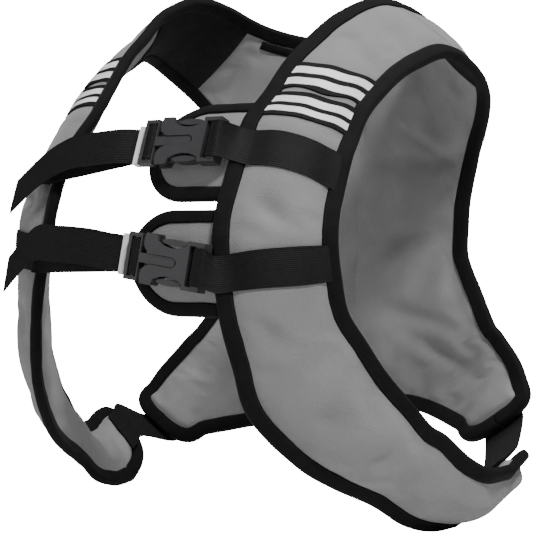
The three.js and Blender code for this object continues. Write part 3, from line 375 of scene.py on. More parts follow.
def pad(half, edges, seam, dents_out=(), dents_in=()):
    """Heights of both faces above the middle surface, in mm.

    From the bound edge inwards the cloth is flat for 8 mm. Then it swells as 1 - (1 - x)^2.2, where x is
    the share of the way to the middle of the panel. At the shoulder seam the swell drops into a groove.
    A dent is a Gaussian hollow at (u, t) with its width along and across in mm and its depth.
    """
    line = np.vstack([resample(e, 1.5) for e in edges])
    d = distance(half.mid, line)
    d[:, 0] = np.where(np.isin(np.arange(len(d)), half.middle_rows), d[:, 0], 0)
    most = np.maximum(d.max(axis=1, keepdims=True), LEAST_HALF)
    x = np.clip((d - FLAT_EDGE) / (most - FLAT_EDGE), 0, 1)
    crown = 1 - (1 - x) ** PUFF_POWER
    to_seam = distance(half.mid, resample(seam, 1.5))
    groove = 1 - np.exp(-((to_seam / 5) ** 2))
    share = crown * half.puff[:, None] * (0.25 + 0.75 * groove)
    soft = smooth((d - FLAT_EDGE) / FADE)
    half.height_out = EDGE / 2 + share * PUFF_OUT + soft * 0.5 * waves(half.mid, 46, 3) * groove
    half.height_in = EDGE / 2 + share * PUFF_IN + soft * 0.4 * waves(half.mid, 38, 4) * groove
    half.dented = [np.zeros(d.shape), np.zeros(d.shape)]
    for face, (heights, dents) in enumerate(((half.height_out, dents_out), (half.height_in, dents_in))):
        for u, t, along, over, turn, depth in dents:
            p, n, _, _ = half.at(u, t)
            q, _, _, _ = half.at(u + 0.15, t)
            way = unit(q - p)
            side_way = unit(np.cross(n, way))
            c, s = math.cos(math.radians(turn)), math.sin(math.radians(turn))
            off = half.mid - p
            a = off @ (way * c + side_way * s) / along
            b = off @ (side_way * c - way * s) / over
            hollow = np.exp(-(a * a + b * b))
            heights -= soft * depth * hollow
            half.dented[face] = np.maximum(half.dented[face], hollow)
    half.distance = d


halves = {}
for name, side in (("left", 1), ("right", -1)):
    front = Half(FRONT, side, [], FRONT_TIP, tip_first=True)
    back = Half(BACK, side, [NECK_ROW, HEM_ROW], WING_TIP, tip_first=False)
    front.middle_rows = np.array([], int)
    back.middle_rows = np.where((back.u >= NECK_ROW) & (back.u <= HEM_ROW))[0]
    back.middle_rows = back.middle_rows[back.middle_rows <= back.last_row]
    halves[name] = (front, back)

# Dents: row, share across, length and width in mm, turn in degrees, depth in mm
FRONT_DENTS = [
    (11.0, 0.44, 11, 6, 60, 5.0), (7.6, 0.32, 10, 7, 20, 5.6), (5.6, 0.42, 12, 8, 40, 6.0),
    (4.2, 0.5, 13, 8, 50, 6.0), (2.9, 0.5, 16, 12, 30, 4.0), (7.2, 0.15, 4, 18, 0, 1.6),
    (19.0, 0.45, 4, 9, 0, 2.0), (8.3, 0.66, 12, 20, 30, 1.5), (1.6, 0.35, 16, 12, 10, 2.0),
]
INNER_CREASES = [
    (9.2, 0.45, 6, 44, 0, 3.2), (10.6, 0.55, 7, 48, 0, 3.4), (12.6, 0.5, 6, 40, 25, 3.6),
    (14.0, 0.62, 6, 32, 40, 4.0), (7.0, 0.7, 3, 28, 20, 1.6), (16.6, 0.55, 7, 18, 40, 2.6),
]
for name, (front, back) in halves.items():
    front_edges = [front.edge_in, front.edge_out, front.tip_edge]
    back_edges = [back.edge_in[back.edge_u <= NECK_ROW], back.edge_in[back.edge_u >= HEM_ROW]]
    back_edges += [back.edge_out, back.tip_edge]
    front.height_out = front.height_in = np.zeros(front.mid.shape[:2])
    back.height_out = back.height_in = np.zeros(back.mid.shape[:2])
    pad(front, front_edges, front.mid[-1], dents_out=FRONT_DENTS)
    pad(back, back_edges, back.mid[0], dents_in=INNER_CREASES)

# ---- Materials ---------------------------------------------------------------------------------
def linear(code):
    """An sRGB hex colour as linear values."""
    c = np.array([int(code[i:i + 2], 16) for i in (1, 3, 5)]) / 255
    c = np.where(c <= 0.04045, c / 12.92, ((c + 0.055) / 1.055) ** 2.4)
    return (*c, 1)


def node(tree, kind, links=None, settings=None, **inputs):
    """Add a node with its settings, its input values and its links from other sockets."""
    n = tree.nodes.new(kind)
    for key, value in (settings or {}).items():
        setattr(n, key, value)
    for key, value in inputs.items():
        n.inputs[key.replace("_", " ") if key.replace("_", " ") in n.inputs else key].default_value = value
    for key, socket in (links or {}).items():
        tree.links.new(socket, n.inputs[key])
    return n


def start_material(name, colour, roughness, sheen=0.0, specular=0.5):
    """A new material with its node tree and its Principled shader."""
    material = bpy.data.materials.new(name)
    material.use_nodes = True
    tree = material.node_tree
    shader = tree.nodes["Principled BSDF"]
    shader.inputs["Base Color"].default_value = linear(colour)
    shader.inputs["Roughness"].default_value = roughness
    shader.inputs["Sheen Weight"].default_value = sheen
    shader.inputs["Specular IOR Level"].default_value = specular
    shader.inputs["IOR"].default_value = 1.5
    return material, tree, shader


def sums(tree, operation, *values):
    """A math node's result. Each value is a number or a socket."""
    n = tree.nodes.new("ShaderNodeMath")
    n.operation = operation
    for socket, value in zip(n.inputs, values):
        if isinstance(value, (int, float)):
            socket.default_value = value
        else:
            tree.links.new(value, socket)
    return n.outputs[0]


def ridges(tree, distance_mm, pitch):
    """Rounded ridges at a pitch in mm: the sine of the distance, as 0 to 1."""
    wave = sums(tree, "SINE", sums(tree, "MULTIPLY", distance_mm, 2 * math.pi / pitch))
    return sums(tree, "MULTIPLY_ADD", wave, 0.5, 0.5)


def along_and_over(tree):
    """The piece's own surface distances in mm: along it, and across or round it."""
    uv = node(tree, "ShaderNodeUVMap", settings={"uv_map": "surface_mm"}).outputs["UV"]
    split = node(tree, "ShaderNodeSeparateXYZ", {"Vector": uv})
    return split.outputs["X"], split.outputs["Y"]


def object_noise(tree, size, detail=3.0):
    """Noise with features of a size in mm, on the piece's own coordinates."""
    where = node(tree, "ShaderNodeTexCoord").outputs["Object"]
    noise = node(tree, "ShaderNodeTexNoise", {"Vector": where}, Scale=1000 / size, Detail=detail)
    return noise.outputs["Fac"]


def two_tone(tree, shader, value, dark, light):
    """Base colour that runs from dark to light with a value from 0 to 1."""
    ramp = node(tree, "ShaderNodeValToRGB", {"Fac": value})
    ramp.color_ramp.elements[0].color, ramp.color_ramp.elements[1].color = linear(dark), linear(light)
    tree.links.new(ramp.outputs["Color"], shader.inputs["Base Color"])


def relief(tree, shader, height, strength, depth):
    """Bump from a height of 0 to 1 that stands for a depth in mm."""
    bump = node(tree, "ShaderNodeBump", {"Height": height}, Strength=strength, Distance=depth * 0.001)
    tree.links.new(bump.outputs["Normal"], shader.inputs["Normal"])


def knit_cloth():
    """Nylon knit bonded to neoprene foam. The eye sees a matt mid grey with fine loops 1.1 mm apart, a soft
    light edge where it turns away, and a faint unevenness of tone over a few centimetres."""
    m, tree, shader = start_material("nylon_knit_on_neoprene", "#868687", 0.88, sheen=0.2, specular=0.15)
    where = node(tree, "ShaderNodeTexCoord").outputs["Object"]
    loops = node(tree, "ShaderNodeTexVoronoi", {"Vector": where}, {"feature": "SMOOTH_F1"},
                 Scale=1000 / 1.1, Smoothness=0.6)
    fuzz = object_noise(tree, 0.7)
    fine = sums(tree, "MULTIPLY", fuzz, 0.5)
    both = sums(tree, "MULTIPLY_ADD", object_noise(tree, 30, 4.0), 0.5, fine)
    two_tone(tree, shader, both, "#6a6a6b", "#8d8d8e")
    relief(tree, shader, sums(tree, "ADD", loops.outputs["Distance"], fuzz), 0.5, 0.45)
    return m


def foam_skin():
    """Smooth neoprene skin on the side towards the body. The eye sees a darker grey than the knit, a little
    glossier, with fine pale specks."""
    m, tree, shader = start_material("smooth_neoprene_skin", "#6f6f70", 0.66, sheen=0.05, specular=0.25)
    where = node(tree, "ShaderNodeTexCoord").outputs["Object"]
    cells = node(tree, "ShaderNodeTexVoronoi", {"Vector": where}, Scale=1000 / 2.2)
    speck = sums(tree, "LESS_THAN", cells.outputs["Distance"], 0.16)
    tone = sums(tree, "MULTIPLY_ADD", speck, 0.35, sums(tree, "MULTIPLY", object_noise(tree, 26, 4.0), 0.6))
    two_tone(tree, shader, tone, "#737374", "#a0a0a1")
    relief(tree, shader, object_noise(tree, 1.4), 0.3, 0.2)
    return m


def line_inside(piece, inside):
    """Give the faces whose points all lie on the side towards the body the skin's material."""
    mesh = piece.data
    mesh.materials.append(dark_skin)
    for face in mesh.polygons:
        face.material_index = int(all(inside[v] > 0.5 for v in face.vertices))


def binding_tape():
    """Folded polyester tape. The eye sees near black with fine cross ribs 0.9 mm apart, a low sheen on the
    fold, and a row of lock stitches 3 mm long near each leg's edge."""
    m, tree, shader = start_material("polyester_binding_tape", "#0d0d0e", 0.8, sheen=0.02, specular=0.12)
    along, around = along_and_over(tree)
    rib = ridges(tree, along, 0.9)
    row = sums(tree, "COMPARE", around, 1.7, 0.32)
    other = sums(tree, "COMPARE", around, 27.5, 0.32)
    thread = sums(tree, "MULTIPLY", sums(tree, "MAXIMUM", row, other),
                  sums(tree, "LESS_THAN", sums(tree, "FRACT", sums(tree, "DIVIDE", along, 3.0)), 0.78))
    tone = sums(tree, "MULTIPLY_ADD", object_noise(tree, 9), 0.35, sums(tree, "MULTIPLY", thread, 0.5))
    two_tone(tree, shader, tone, "#050505", "#222224")
    relief(tree, shader, sums(tree, "MULTIPLY_ADD", rib, 0.5, thread), 0.6, 0.25)
    return m


def webbing():
    """Polypropylene webbing. The eye sees black with narrow ribs that run along it, 1.25 mm apart, crossed by
    a tight weave."""
    m, tree, shader = start_material("polypropylene_webbing", "#0e0e0f", 0.68, specular=0.14)
    along, over = along_and_over(tree)
    rib = ridges(tree, over, 1.25)
    weave = ridges(tree, sums(tree, "MULTIPLY_ADD", over, 0.5, along), 1.6)
    height = sums(tree, "MULTIPLY_ADD", weave, 0.35, rib)
    wear = sums(tree, "MULTIPLY", object_noise(tree, 6), 0.25)
    two_tone(tree, shader, sums(tree, "MULTIPLY_ADD", rib, 0.45, wear), "#040404", "#232325")
    relief(tree, shader, height, 0.7, 0.3)
    return m


def elastic_band():
    """Woven elastic. The eye sees a flat black with ridges along it, 2 mm apart, and fine cross threads."""
    m, tree, shader = start_material("woven_elastic", "#101011", 0.85, sheen=0.03, specular=0.1)
    along, over = along_and_over(tree)
    rib = ridges(tree, over, 2.0)
    two_tone(tree, shader, sums(tree, "MULTIPLY", rib, 0.6), "#070708", "#29292b")
    relief(tree, shader, sums(tree, "MULTIPLY_ADD", ridges(tree, along, 0.8), 0.4, rib), 0.7, 0.4)
    return m


def reflective_film():
    """Glass-bead reflective tape. The eye sees a bright silvery white with a cross hatch 1.4 mm apart."""
    m, tree, shader = start_material("glass_bead_reflective_tape", "#e6e7e8", 0.42, specular=0.5)
    along, over = along_and_over(tree)
    hatch = sums(tree, "MULTIPLY", ridges(tree, sums(tree, "ADD", along, over), 1.4),
                 ridges(tree, sums(tree, "SUBTRACT", along, over), 1.4))
    wear = sums(tree, "MULTIPLY", object_noise(tree, 12), 0.6)
    two_tone(tree, shader, sums(tree, "MULTIPLY_ADD", hatch, 0.4, wear), "#d6d7d9", "#fbfbfb")
    relief(tree, shader, hatch, 0.3, 0.15)
    return m


def keeper_band():
    """White knitted elastic. The eye sees matt white ribs 1.3 mm apart that run round the band."""
    m, tree, shader = start_material("white_knitted_elastic", "#eeeeec", 0.85, sheen=0.15, specular=0.15)
    where = node(tree, "ShaderNodeTexCoord").outputs["Object"]
    split = node(tree, "ShaderNodeSeparateXYZ", {"Vector": where})
    rib = ridges(tree, sums(tree, "MULTIPLY", split.outputs["X"], 1000.0), 1.3)
    two_tone(tree, shader, rib, "#d4d4d2", "#fafaf8")
    relief(tree, shader, rib, 0.6, 0.3)
    return m


def moulded_acetal():
    """Moulded acetal with a fine spark-eroded grain. The eye sees a dark warm grey with soft broad highlights
    that break up slightly on the flat faces."""
    m, tree, shader = start_material("moulded_acetal", "#1e1e1f", 0.42, specular=0.35)
    grain = object_noise(tree, 0.5, 2.0)
    patch = object_noise(tree, 14)
    two_tone(tree, shader, patch, "#252527", "#38383a")
    rough = node(tree, "ShaderNodeMapRange", {"Value": patch}, To_Min=0.34, To_Max=0.52)
    tree.links.new(rough.outputs["Result"], shader.inputs["Roughness"])
    relief(tree, shader, grain, 0.35, 0.12)
    return m


def sewing_thread():
    """Spun polyester thread. The eye sees short dark grey dashes, a little lighter than the webbing."""
    m, tree, shader = start_material("spun_polyester_thread", "#2a2a2c", 0.7, sheen=0.1, specular=0.2)
    two_tone(tree, shader, object_noise(tree, 1.2), "#1c1c1d", "#3a3a3c")
    relief(tree, shader, object_noise(tree, 0.4, 1.0), 0.4, 0.08)
    return m


def acrylic_sheet():
    """White acrylic sheet under the vest. The eye sees plain bright white, so the sheet shines by itself
    towards the camera alone."""
    m, tree, shader = start_material("white_acrylic_sheet", "#fbfbfb", 0.22, specular=0.4)
    seen = node(tree, "ShaderNodeLightPath").outputs["Is Camera Ray"]
    shader.inputs["Emission Color"].default_value = linear("#ffffff")
    tree.links.new(sums(tree, "MULTIPLY", seen, FLOOR_GLOW), shader.inputs["Emission Strength"])
    return m


FLOOR_GLOW, SKY_GLOW, SKY_LIGHT = 22.0, 22.0, 0.12
floor_material = acrylic_sheet()
cloth_grey, dark_skin = knit_cloth(), foam_skin()
black_tape, black_webbing, black_elastic = binding_tape(), webbing(), elastic_band()
white_film, white_keeper, dark_acetal = reflective_film(), keeper_band(), moulded_acetal()
black_thread = sewing_thread()

# ---- Panels ------------------------------------------------------------------------------------
SEWN_ROWS = [(8.9, 10.1), (11.2, 13.1), (13.95, 16.05)]  # rows of a front under its straps and tapes


def sewn(half, inner):
    """1 where a face is held by stitching and 0 where it is free. It is held along the bound edges, at the
    shoulder seam and under straps and tapes, and almost held in its dents."""
    held = np.maximum(1 - smooth((half.distance - 7) / 5), 0.85 * half.dented[int(inner)])
    seam_u = half.u[half.last_row] if half.tip_first else 0.0
    held = np.maximum(held, (np.abs(half.u - seam_u) < (2.0 if inner else 0.4))[:, None])
    if half.tip_first and not inner:
        for low, high in SEWN_ROWS:
            held = np.maximum(held, ((half.u > low) & (half.u < high))[:, None])
    return held


def swell(piece, held, pressure, most, shrink):
    """Blender's Cloth on the piece's own mesh: pressure inside, no gravity, sewn points pinned, 20 frames.
    The cloth is cut slightly larger than its place, so it puckers. A point moves at most so many mm."""
    scene = bpy.context.scene
    mesh = piece.data
    before = np.empty(len(mesh.vertices) * 3)
    mesh.vertices.foreach_get("co", before)
    before = before.reshape(-1, 3)
    group = piece.vertex_groups.new(name="sewn")
    for share in np.unique(np.round(held, 2)):
        if share > 0:
            group.add([int(i) for i in np.where(np.round(held, 2) == share)[0]], float(share), "REPLACE")
    for other in piece.modifiers:
        other.show_viewport = False
    cloth = piece.modifiers.new("cloth", "CLOTH")
    made = cloth.settings
    made.quality, made.mass, made.air_damping = 6, 0.25, 4
    made.tension_stiffness = made.compression_stiffness = 18
    made.shear_stiffness, made.bending_stiffness = 8, 1.5
    made.use_pressure, made.uniform_pressure_force = True, pressure
    made.vertex_group_mass, made.pin_stiffness = "sewn", 1
    made.shrink_min = made.shrink_max = -shrink
    made.effector_weights.gravity = 0
    cloth.collision_settings.use_collision = False
    cloth.point_cache.frame_start, cloth.point_cache.frame_end = 1, 20
    for number in range(1, 21):
        scene.frame_set(number)
    moved = piece.evaluated_get(bpy.context.evaluated_depsgraph_get()).to_mesh()
    after = np.empty(len(mesh.vertices) * 3)
    moved.vertices.foreach_get("co", after)
    piece.evaluated_get(bpy.context.evaluated_depsgraph_get()).to_mesh_clear()
    step = (after.reshape(-1, 3) - before) * (1 - held[:, None])
    size = np.linalg.norm(step, axis=1, keepdims=True)
    step *= np.minimum(1, most * 0.001 / np.maximum(size, 1e-9))
    scene.frame_set(1)
    piece.modifiers.remove(cloth)
    piece.vertex_groups.remove(group)
    mesh.vertices.foreach_set("co", (before + step).ravel())
    mesh.update()
    for other in piece.modifiers:
        other.show_viewport = True


def panel(name, parts, most):
    """Both faces of each half's grid and a wall round them, apart from the middle of the back, where two
    halves meet."""
    points, faces, held = [], [], []
    for half in parts:
        held += [sewn(half, False).ravel(), sewn(half, True).ravel()]
        rows, cols = half.mid.shape[:2]
        start = sum(len(p) for p in points)
        count = rows * cols
        points.append((half.mid + half.normal * half.height_out[..., None]).reshape(-1, 3))
        points.append((half.mid - half.normal * half.height_in[..., None]).reshape(-1, 3))
        faces += two_faces(rows, cols, start, flip=half.side < 0)
        middle = set(int(i) for i in half.middle_rows)
        ring = grid_border(rows, cols)
        for a, b in zip(ring, ring[1:] + ring[:1]):
            if a % cols == 0 and b % cols == 0 and a // cols in middle and b // cols in middle:
                continue
            quad = [start + a, start + b, start + b + count, start + a + count]
            faces.append(quad if half.side < 0 else quad[::-1])
    inside = np.concatenate([np.full(len(p), n % 2) for n, p in enumerate(points)]).astype(float)
    points, faces, held, inside = weld(np.vstack(points), faces, np.concatenate(held), inside)
    piece = make_piece(name, points, outwards(points, faces), stands_for=name,
                       material=cloth_grey, levels=1)
    line_inside(piece, inside)
    swell(piece, held, pressure=4, most=most, shrink=0.012)
    return piece


panels = [panel(f"front_panel_{name}", [front], most=3) for name, (front, back) in halves.items()]
panels.append(panel("back_panel", [back for front, back in halves.values()], most=2.2))

# ---- Edge bindings -----------------------------------------------------------------------------
def fold(leg, top, wall, nose=9):
    """Closed profile of a folded tape: distance in from the edge, and height. Outside it is two slightly
    crowned legs joined by a half ellipse round the edge. Its inside is plain and hidden by the cloth."""
    s = np.linspace(0, 1, 7)
    upper = np.stack([leg * (1 - s), top - 0.5 * (2 * s - 1) ** 2 - 0.5 * (s < 0.01)], -1)
    a = np.linspace(math.pi / 2, -math.pi / 2, nose + 2)[1:-1]
    round_edge = np.stack([-(top - 1.9) * np.cos(a), (top - 0.5) * np.sin(a)], -1)
    outside = np.vstack([upper, round_edge, upper[::-1] * [1, -1]])
    inner = np.array([[leg, top - wall - 0.4], [0.6, top - wall - 0.4]])
    return np.vstack([outside, inner * [1, -1], inner[::-1]])


def even_stops(path, inward, normal, count=None):
    """Stops at equal steps along a path, 2.6 mm apart or as many as asked for: their distances along it,
    their points, and their inward directions and normals at length 1."""
    run = run_of(path)
    steps = np.linspace(0, run[-1], count or max(8, int(run[-1] / 2.6)))
    path, inward, normal = [along_run(steps, run, v) for v in (path, inward, normal)]
    inward = across_to(unit(inward), unit(np.gradient(path, axis=0)))
    return steps, path, inward, unit(normal)


def bind(name, path, inward, normal, seed, leg=BIND_LEG, top=BIND_TOP):
    """A folded tape along an edge: the fold's profile in the plane of the inward direction and the normal,
    with a slight wander of the leg and the height along the tape. UVs are distances along and round it."""
    steps, path, inward, normal = even_stops(path, inward, normal)
    normal = across_to(normal, inward)
    shape = fold(leg, top, 1.0)
    wander = 1 + 0.03 * waves(path, 30, seed)[:, None]
    lift = 1 + 0.035 * waves(path, 17, seed + 1)[:, None]
    rings = (path[:, None] + inward[:, None] * (shape[:, 0] * wander)[..., None]
             + normal[:, None] * (shape[:, 1] * lift)[..., None])
    points = rings.reshape(-1, 3)
    make_piece(name, points, outwards(points, tube(rings)), uv=grid_uv(steps, run_of(shape)),
               stands_for=name, material=black_tape)


def edge_of(half, which, u0, u1):
    """Path, inward direction and normal along the inner (0) or outer (-1) edge, between two row numbers."""
    keep = (half.edge_u >= u0) & (half.edge_u <= u1)
    rows = slice(half.first, half.last_row + 1)
    edge = (half.edge_in if which == 0 else half.edge_out)[keep]
    other = (half.edge_out if which == 0 else half.edge_in)[keep]
    return edge, unit(other - edge), half.normal[rows][:, which][keep]


def tip_of(half, towards_inner):
    """The rounded end's edge from its middle to the inner or the outer corner, a hair off the middle."""
    part = slice(0, 21) if towards_inner else slice(20, 41)
    edge, normal = half.tip_edge[part], half.tip_normal[part]
    if towards_inner:
        edge, normal = edge[::-1], normal[::-1]
    inward = unit(half.tip_centre - edge)
    edge = edge.copy()
    edge[0] += unit(edge[1] - edge[0]) * 0.12
    return edge[:-1], inward[:-1], normal[:-1]


def join(*parts):
    """Paths of the same kind, one after the other."""
    return [np.vstack(p) for p in zip(*parts)]


def back_way(part):
    """A path walked from its end."""
    return [p[::-1] for p in part]


LAST_FRONT, LAST_BACK = len(FRONT) - 1, len(BACK) - 1
neck, hem = [], []
for front, back in halves.values():
    to_neck = [p[1:] for p in edge_of(back, 0, 0, NECK_ROW - 0.3)]
    neck.append(join(tip_of(front, True), edge_of(front, 0, 0, LAST_FRONT), to_neck))
    hem.append(join(edge_of(back, 0, HEM_ROW + 0.3, LAST_BACK), back_way(tip_of(back, True))))


def centre_stop(u, down):
    """The stop at the middle of the back's edge: its point, the inward direction and the normal."""
    p = curve(place(BACK[:, 0:3], BACK[:, 7], 1), np.array([u]))
    return [p, np.array([[0, 0, down]]), np.array([[0, 1.0, 0]])]


bind("binding_neckline", *join(neck[0], centre_stop(NECK_ROW, -1.0), back_way(neck[1])), seed=11)
bind("binding_hem", *join(back_way(hem[0]), centre_stop(HEM_ROW, 1.0), hem[1]), seed=21)
for name, (front, back) in halves.items():
    path = join(tip_of(front, False), edge_of(front, -1, 0, LAST_FRONT),
                [p[1:] for p in edge_of(back, -1, 0, LAST_BACK)], back_way(tip_of(back, False)))
    bind(f"binding_armhole_{name}", *path, seed=31)


# ---- Flat pieces on the cloth ------------------------------------------------------------------
def slab(name, top, under, slot, material, bevel=0.25):
    """A thin closed piece between two grids of points, with its edges drawn in by a small rounding."""
    rows, cols = top.shape[:2]
    points = np.concatenate([top.reshape(-1, 3), under.reshape(-1, 3)])
    uv = grid_uv(run_of(top[:, cols // 2]), run_of(top[rows // 2]))
    count = rows * cols
    faces = two_faces(rows, cols)
    ring = grid_border(rows, cols)
    faces += [[b, a, a + count, b + count] for a, b in zip(ring, ring[1:] + ring[:1])]
    piece = make_piece(name, points, outwards(points, faces), uv=np.vstack([uv, uv]),
                       stands_for=name, material=material)
    soft = piece.modifiers.new("rounding", "BEVEL")
    soft.width, soft.segments = bevel * 0.001, 2
    soft.limit_method, soft.angle_limit = "ANGLE", math.radians(50)


def on_cloth(half, u, t, off, outward=1):
    """Points that lie on the outer (1) or inner (-1) face at row numbers u and shares t, raised by off mm."""
    p, n, high, low = half.at(u, t)
    return p + n * outward * ((high if outward > 0 else low) + off)


TAPES = {"upper": (15.03, 15.97), "lower": (14.03, 14.97)}
STRIPES = {"a": (0.19, 0.42), "b": (0.58, 0.81)}
for name, (front, back) in halves.items():
    t = np.linspace(0.04, 0.96, 41)[None, :]
    bow = 0.05 * np.sin(t * 7.5 + 0.6) + 0.02 * np.sin(t * 17)
    for level, (low, high) in TAPES.items():
        u = np.linspace(low + 0.02, high - 0.02, 9)[:, None]
        lower_edge = (u - low) / (high - low)
        u = u + bow + (0.10 * np.sin(t * 6.0) ** 2 * (1 - lower_edge) if level == "upper" else 0)
        tape = [on_cloth(front, u, t, off) for off in (1.1, 0.15)]
        slab(f"tape_{name}_{level}", *tape, "webbing", black_webbing)
        for letter, (a, b) in STRIPES.items():
            v = low + (high - low) * np.linspace(a, b, 5)[:, None] + bow
            ts = np.linspace(0.075, 0.925, 41)[None, :]
            film = [on_cloth(front, v, ts, off) for off in (1.5, 1.15)]
            slab(f"stripe_{name}_{level}_{letter}", *film, "reflective_stripe", white_film, bevel=0.1)

for name, (front, back) in halves.items():
    t = np.linspace(0.1, 0.9, 15)[None, :]
    joints = []
    for off in (1.1, 0.2):
        a = on_cloth(front, np.linspace(18.0, 19.9, 12)[:, None], t, off, -1)
        b = on_cloth(back, np.linspace(0.1, 2.0, 12)[:, None], t, off, -1)
        joints.append(np.concatenate([a, b]))
    slab(f"shoulder_lining_{name}", *joints, "webbing", black_webbing)

# ---- Buckles, webbing and pads -----------------------------------------------------------------
GAP = 0.35
SOCKET_END, FRAME_START = BUCKLE_L / 2, -BUCKLE_L / 2
SOCKET_BAR, BAR, THROAT = 6.5, 2.6, WEB_THICK + 2 * GAP + 1
PROUD = {"upper": 13, "lower": 8}   # how far a buckle stands before the edges
SLOPE = {"upper": 0.45, "lower": 1}  # how much of the chest's slope it follows
BEHIND = 5.6                        # how far its pad stands behind the edges
STRAP_ROWS = {"upper": (12, 13), "lower": (9, 10)}
RIGHT_ROWS = {"upper": (11.3, 12), "lower": (9, 10)}
TILT = {"upper": 0, "lower": 8}  # degrees by which the tongue's end is higher
RISE = {"upper": 0, "lower": 8}  # how far the buckle sits above its strap's rows
left_front, right_front = halves["left"][0], halves["right"][0]


def buckle_frame(level):
    """Axes and middle of a buckle: x to the left front, y backwards, z up the chest."""
    low, high = curve(place(FRONT[:, 0:3], FRONT[:, 7], 1), np.array(STRAP_ROWS[level], float))
    x = np.array([1.0, 0, 0])
    up = unit((high - low) * [0, SLOPE[level], 1])
    back = unit(np.cross(up, x))
    c, s = math.cos(math.radians(TILT[level])), math.sin(math.radians(TILT[level]))
    turned = x * c + np.cross(back, x) * s
    centre = (low + high) / 2 + up * RISE[level] - x * (SOCKET_END + 2 + 1.3 + GAP) - back * PROUD[level]
    return np.stack([turned, back, up * c + np.cross(back, up) * s]), centre


FRAMES = {level: buckle_frame(level) for level in STRAP_ROWS}


def in_frame(level, x, y, z):
    """Points given on a buckle's own axes."""
    axes, centre = FRAMES[level]
    return np.stack(np.broadcast_arrays(x, y, z), -1) @ axes + centre


def arc(cx, cy, r, a0, a1, count=6):
    """Points on a circle's arc, in degrees."""
    a = np.radians(np.linspace(a0, a1, count))
    return [(cx + r * math.cos(v), cy + r * math.sin(v)) for v in a]


def ribbon(name, control, thick=WEB_THICK, material=black_webbing, step=5):
    """A flat band: a smooth curve through the control points of each line across, thickened both ways along
    the normal of that surface."""
    k, m = control.shape[:2]
    at = np.linspace(0, k - 1, (k - 1) * step + 1)
    mid = curve(control.reshape(k, m * 3), at).reshape(-1, m, 3)
    normal = unit(np.cross(np.gradient(mid, axis=0), np.gradient(mid, axis=1)))
    half = thick / 2
    crown = np.full(m, half)
    crown[[0, -1]] = half * 0.55
    off = normal * crown[None, :, None]
    slab(name, mid + off, mid - off, "webbing", material, bevel=0.3)


ACROSS = np.linspace(0, 1, 9)


def over_front(half, span):
    """The stretch of a strap over a front: from the armhole edge to past the centre edge."""
    u0, u1 = span
    u = u0 + (u1 - u0) * ACROSS
    rows = [on_cloth(half, u, np.full(9, t), 1.0) for t in (0.955, 0.84, 0.7, 0.56, 0.42, 0.3, 0.2)]
    p, n, _, _ = half.at(u, np.zeros(9))
    q, _, _, _ = half.at(u, np.full(9, 0.3))
    outward = unit(p - q)
    for reach in (-8.5, 1.5):
        rows.append(p + outward * reach + n * (BIND_TOP + 1.0))
    return rows


# Free tails: shares of the length along, and of the webbing's width forwards and down
TAIL_LENGTH = 96
TAILS = {
    "upper": [(0.12, 0.3, 0.1), (0.3, 0.5, 0.25), (0.48, 0.6, 0.4), (0.7, 0.6, 0.85), (0.95, 0.45, 1.6)],
    "lower": [(0.1, 0.2, 0.0), (0.25, 0.42, -0.02), (0.5, 0.55, 0.05), (0.72, 0.5, 0.2), (0.96, 0.35, 1.15)],
}
TAIL_START = FRAME_START - 9.85
Z = (ACROSS - 0.5) * WEB
for level in FRAMES:
    rim = BUCKLE_T / 2 + GAP + WEB_THICK / 2
    inner = SOCKET_END - SOCKET_BAR - GAP - WEB_THICK / 2
    turns = [(SOCKET_END + 1, -rim), (inner + 3.4, -rim)]
    turns += arc(inner + 2.2, -rim + 2.2, 2.2, -90, -180, 4) + arc(inner + 2.2, rim - 2.2, 2.2, 180, 90, 4)
    turns += [(inner + 3.4, rim), (SOCKET_END - 1, rim)]
    near = over_front(left_front, STRAP_ROWS[level]) + [in_frame(level, x, y, Z) for x, y in turns]
    ribbon(f"strap_left_{level}", np.stack(near))

    tongue_half = BUCKLE_T / 2 - 1
    first = tongue_half + GAP + WEB_THICK / 2
    second = first + WEB_THICK + GAP
    wrap = FRAME_START + BAR + THROAT
    a, b = wrap - GAP - WEB_THICK / 2, wrap + BAR + GAP + WEB_THICK / 2
    turns = [(TAIL_START, second), (b - 2.6, second)]
    turns += arc(b - 1.6, first - 1.6, 1.9, 70, 0, 3) + arc(b - 1.6, -first + 1.6, 1.6, 0, -90, 4)
    turns += arc(a + 1.6, -first + 1.6, 1.6, -90, -180, 4) + arc(a + 1.6, first - 1.6, 1.6, 180, 110, 3)
    turns += [(a - 2.4, first), (TAIL_START, first)]
    tail = [in_frame(level, TAIL_START - TAIL_LENGTH * x, first - f * WEB, Z - d * WEB)
            for x, f, d in TAILS[level]]
    far = over_front(right_front, RIGHT_ROWS[level])
    turned = [in_frame(level, x, y, Z) for x, y in turns]
    bridge = (far[-1] + turned[0]) / 2
    ribbon(f"strap_right_{level}", np.stack(far + [bridge] + turned + tail))


def stitches(name, path, normal, length=2.6, gap=1.2, wide=0.5, high=0.3):
    """A row of lock stitches as one piece: short eight-sided grains end to end along a line on the cloth."""
    run = run_of(path)
    starts = np.arange(0.6, run[-1] - length, length + gap)
    points, faces = [], []
    angle = np.linspace(0, 2 * math.pi, 9)[:-1]
    for s in starts:
        at = s + length * np.array([0, 0.25, 0.75, 1])
        p, n = along_run(at, run, path), unit(along_run(at, run, normal))
        way = unit(np.cross(n, np.gradient(p, axis=0)))
        size = np.array([0.3, 1, 1, 0.3])[:, None]
        ring = (p[:, None] + way[:, None] * (np.cos(angle) * wide * size)[..., None] / 2
                + n[:, None] * (np.sin(angle) * high * size)[..., None])
        faces += tube(ring, start=len(points) * ring.shape[0] * ring.shape[1])
        points.append(ring.reshape(-1, 3))
    points = np.vstack(points)
    make_piece(name, points, outwards(points, faces), material=black_thread)


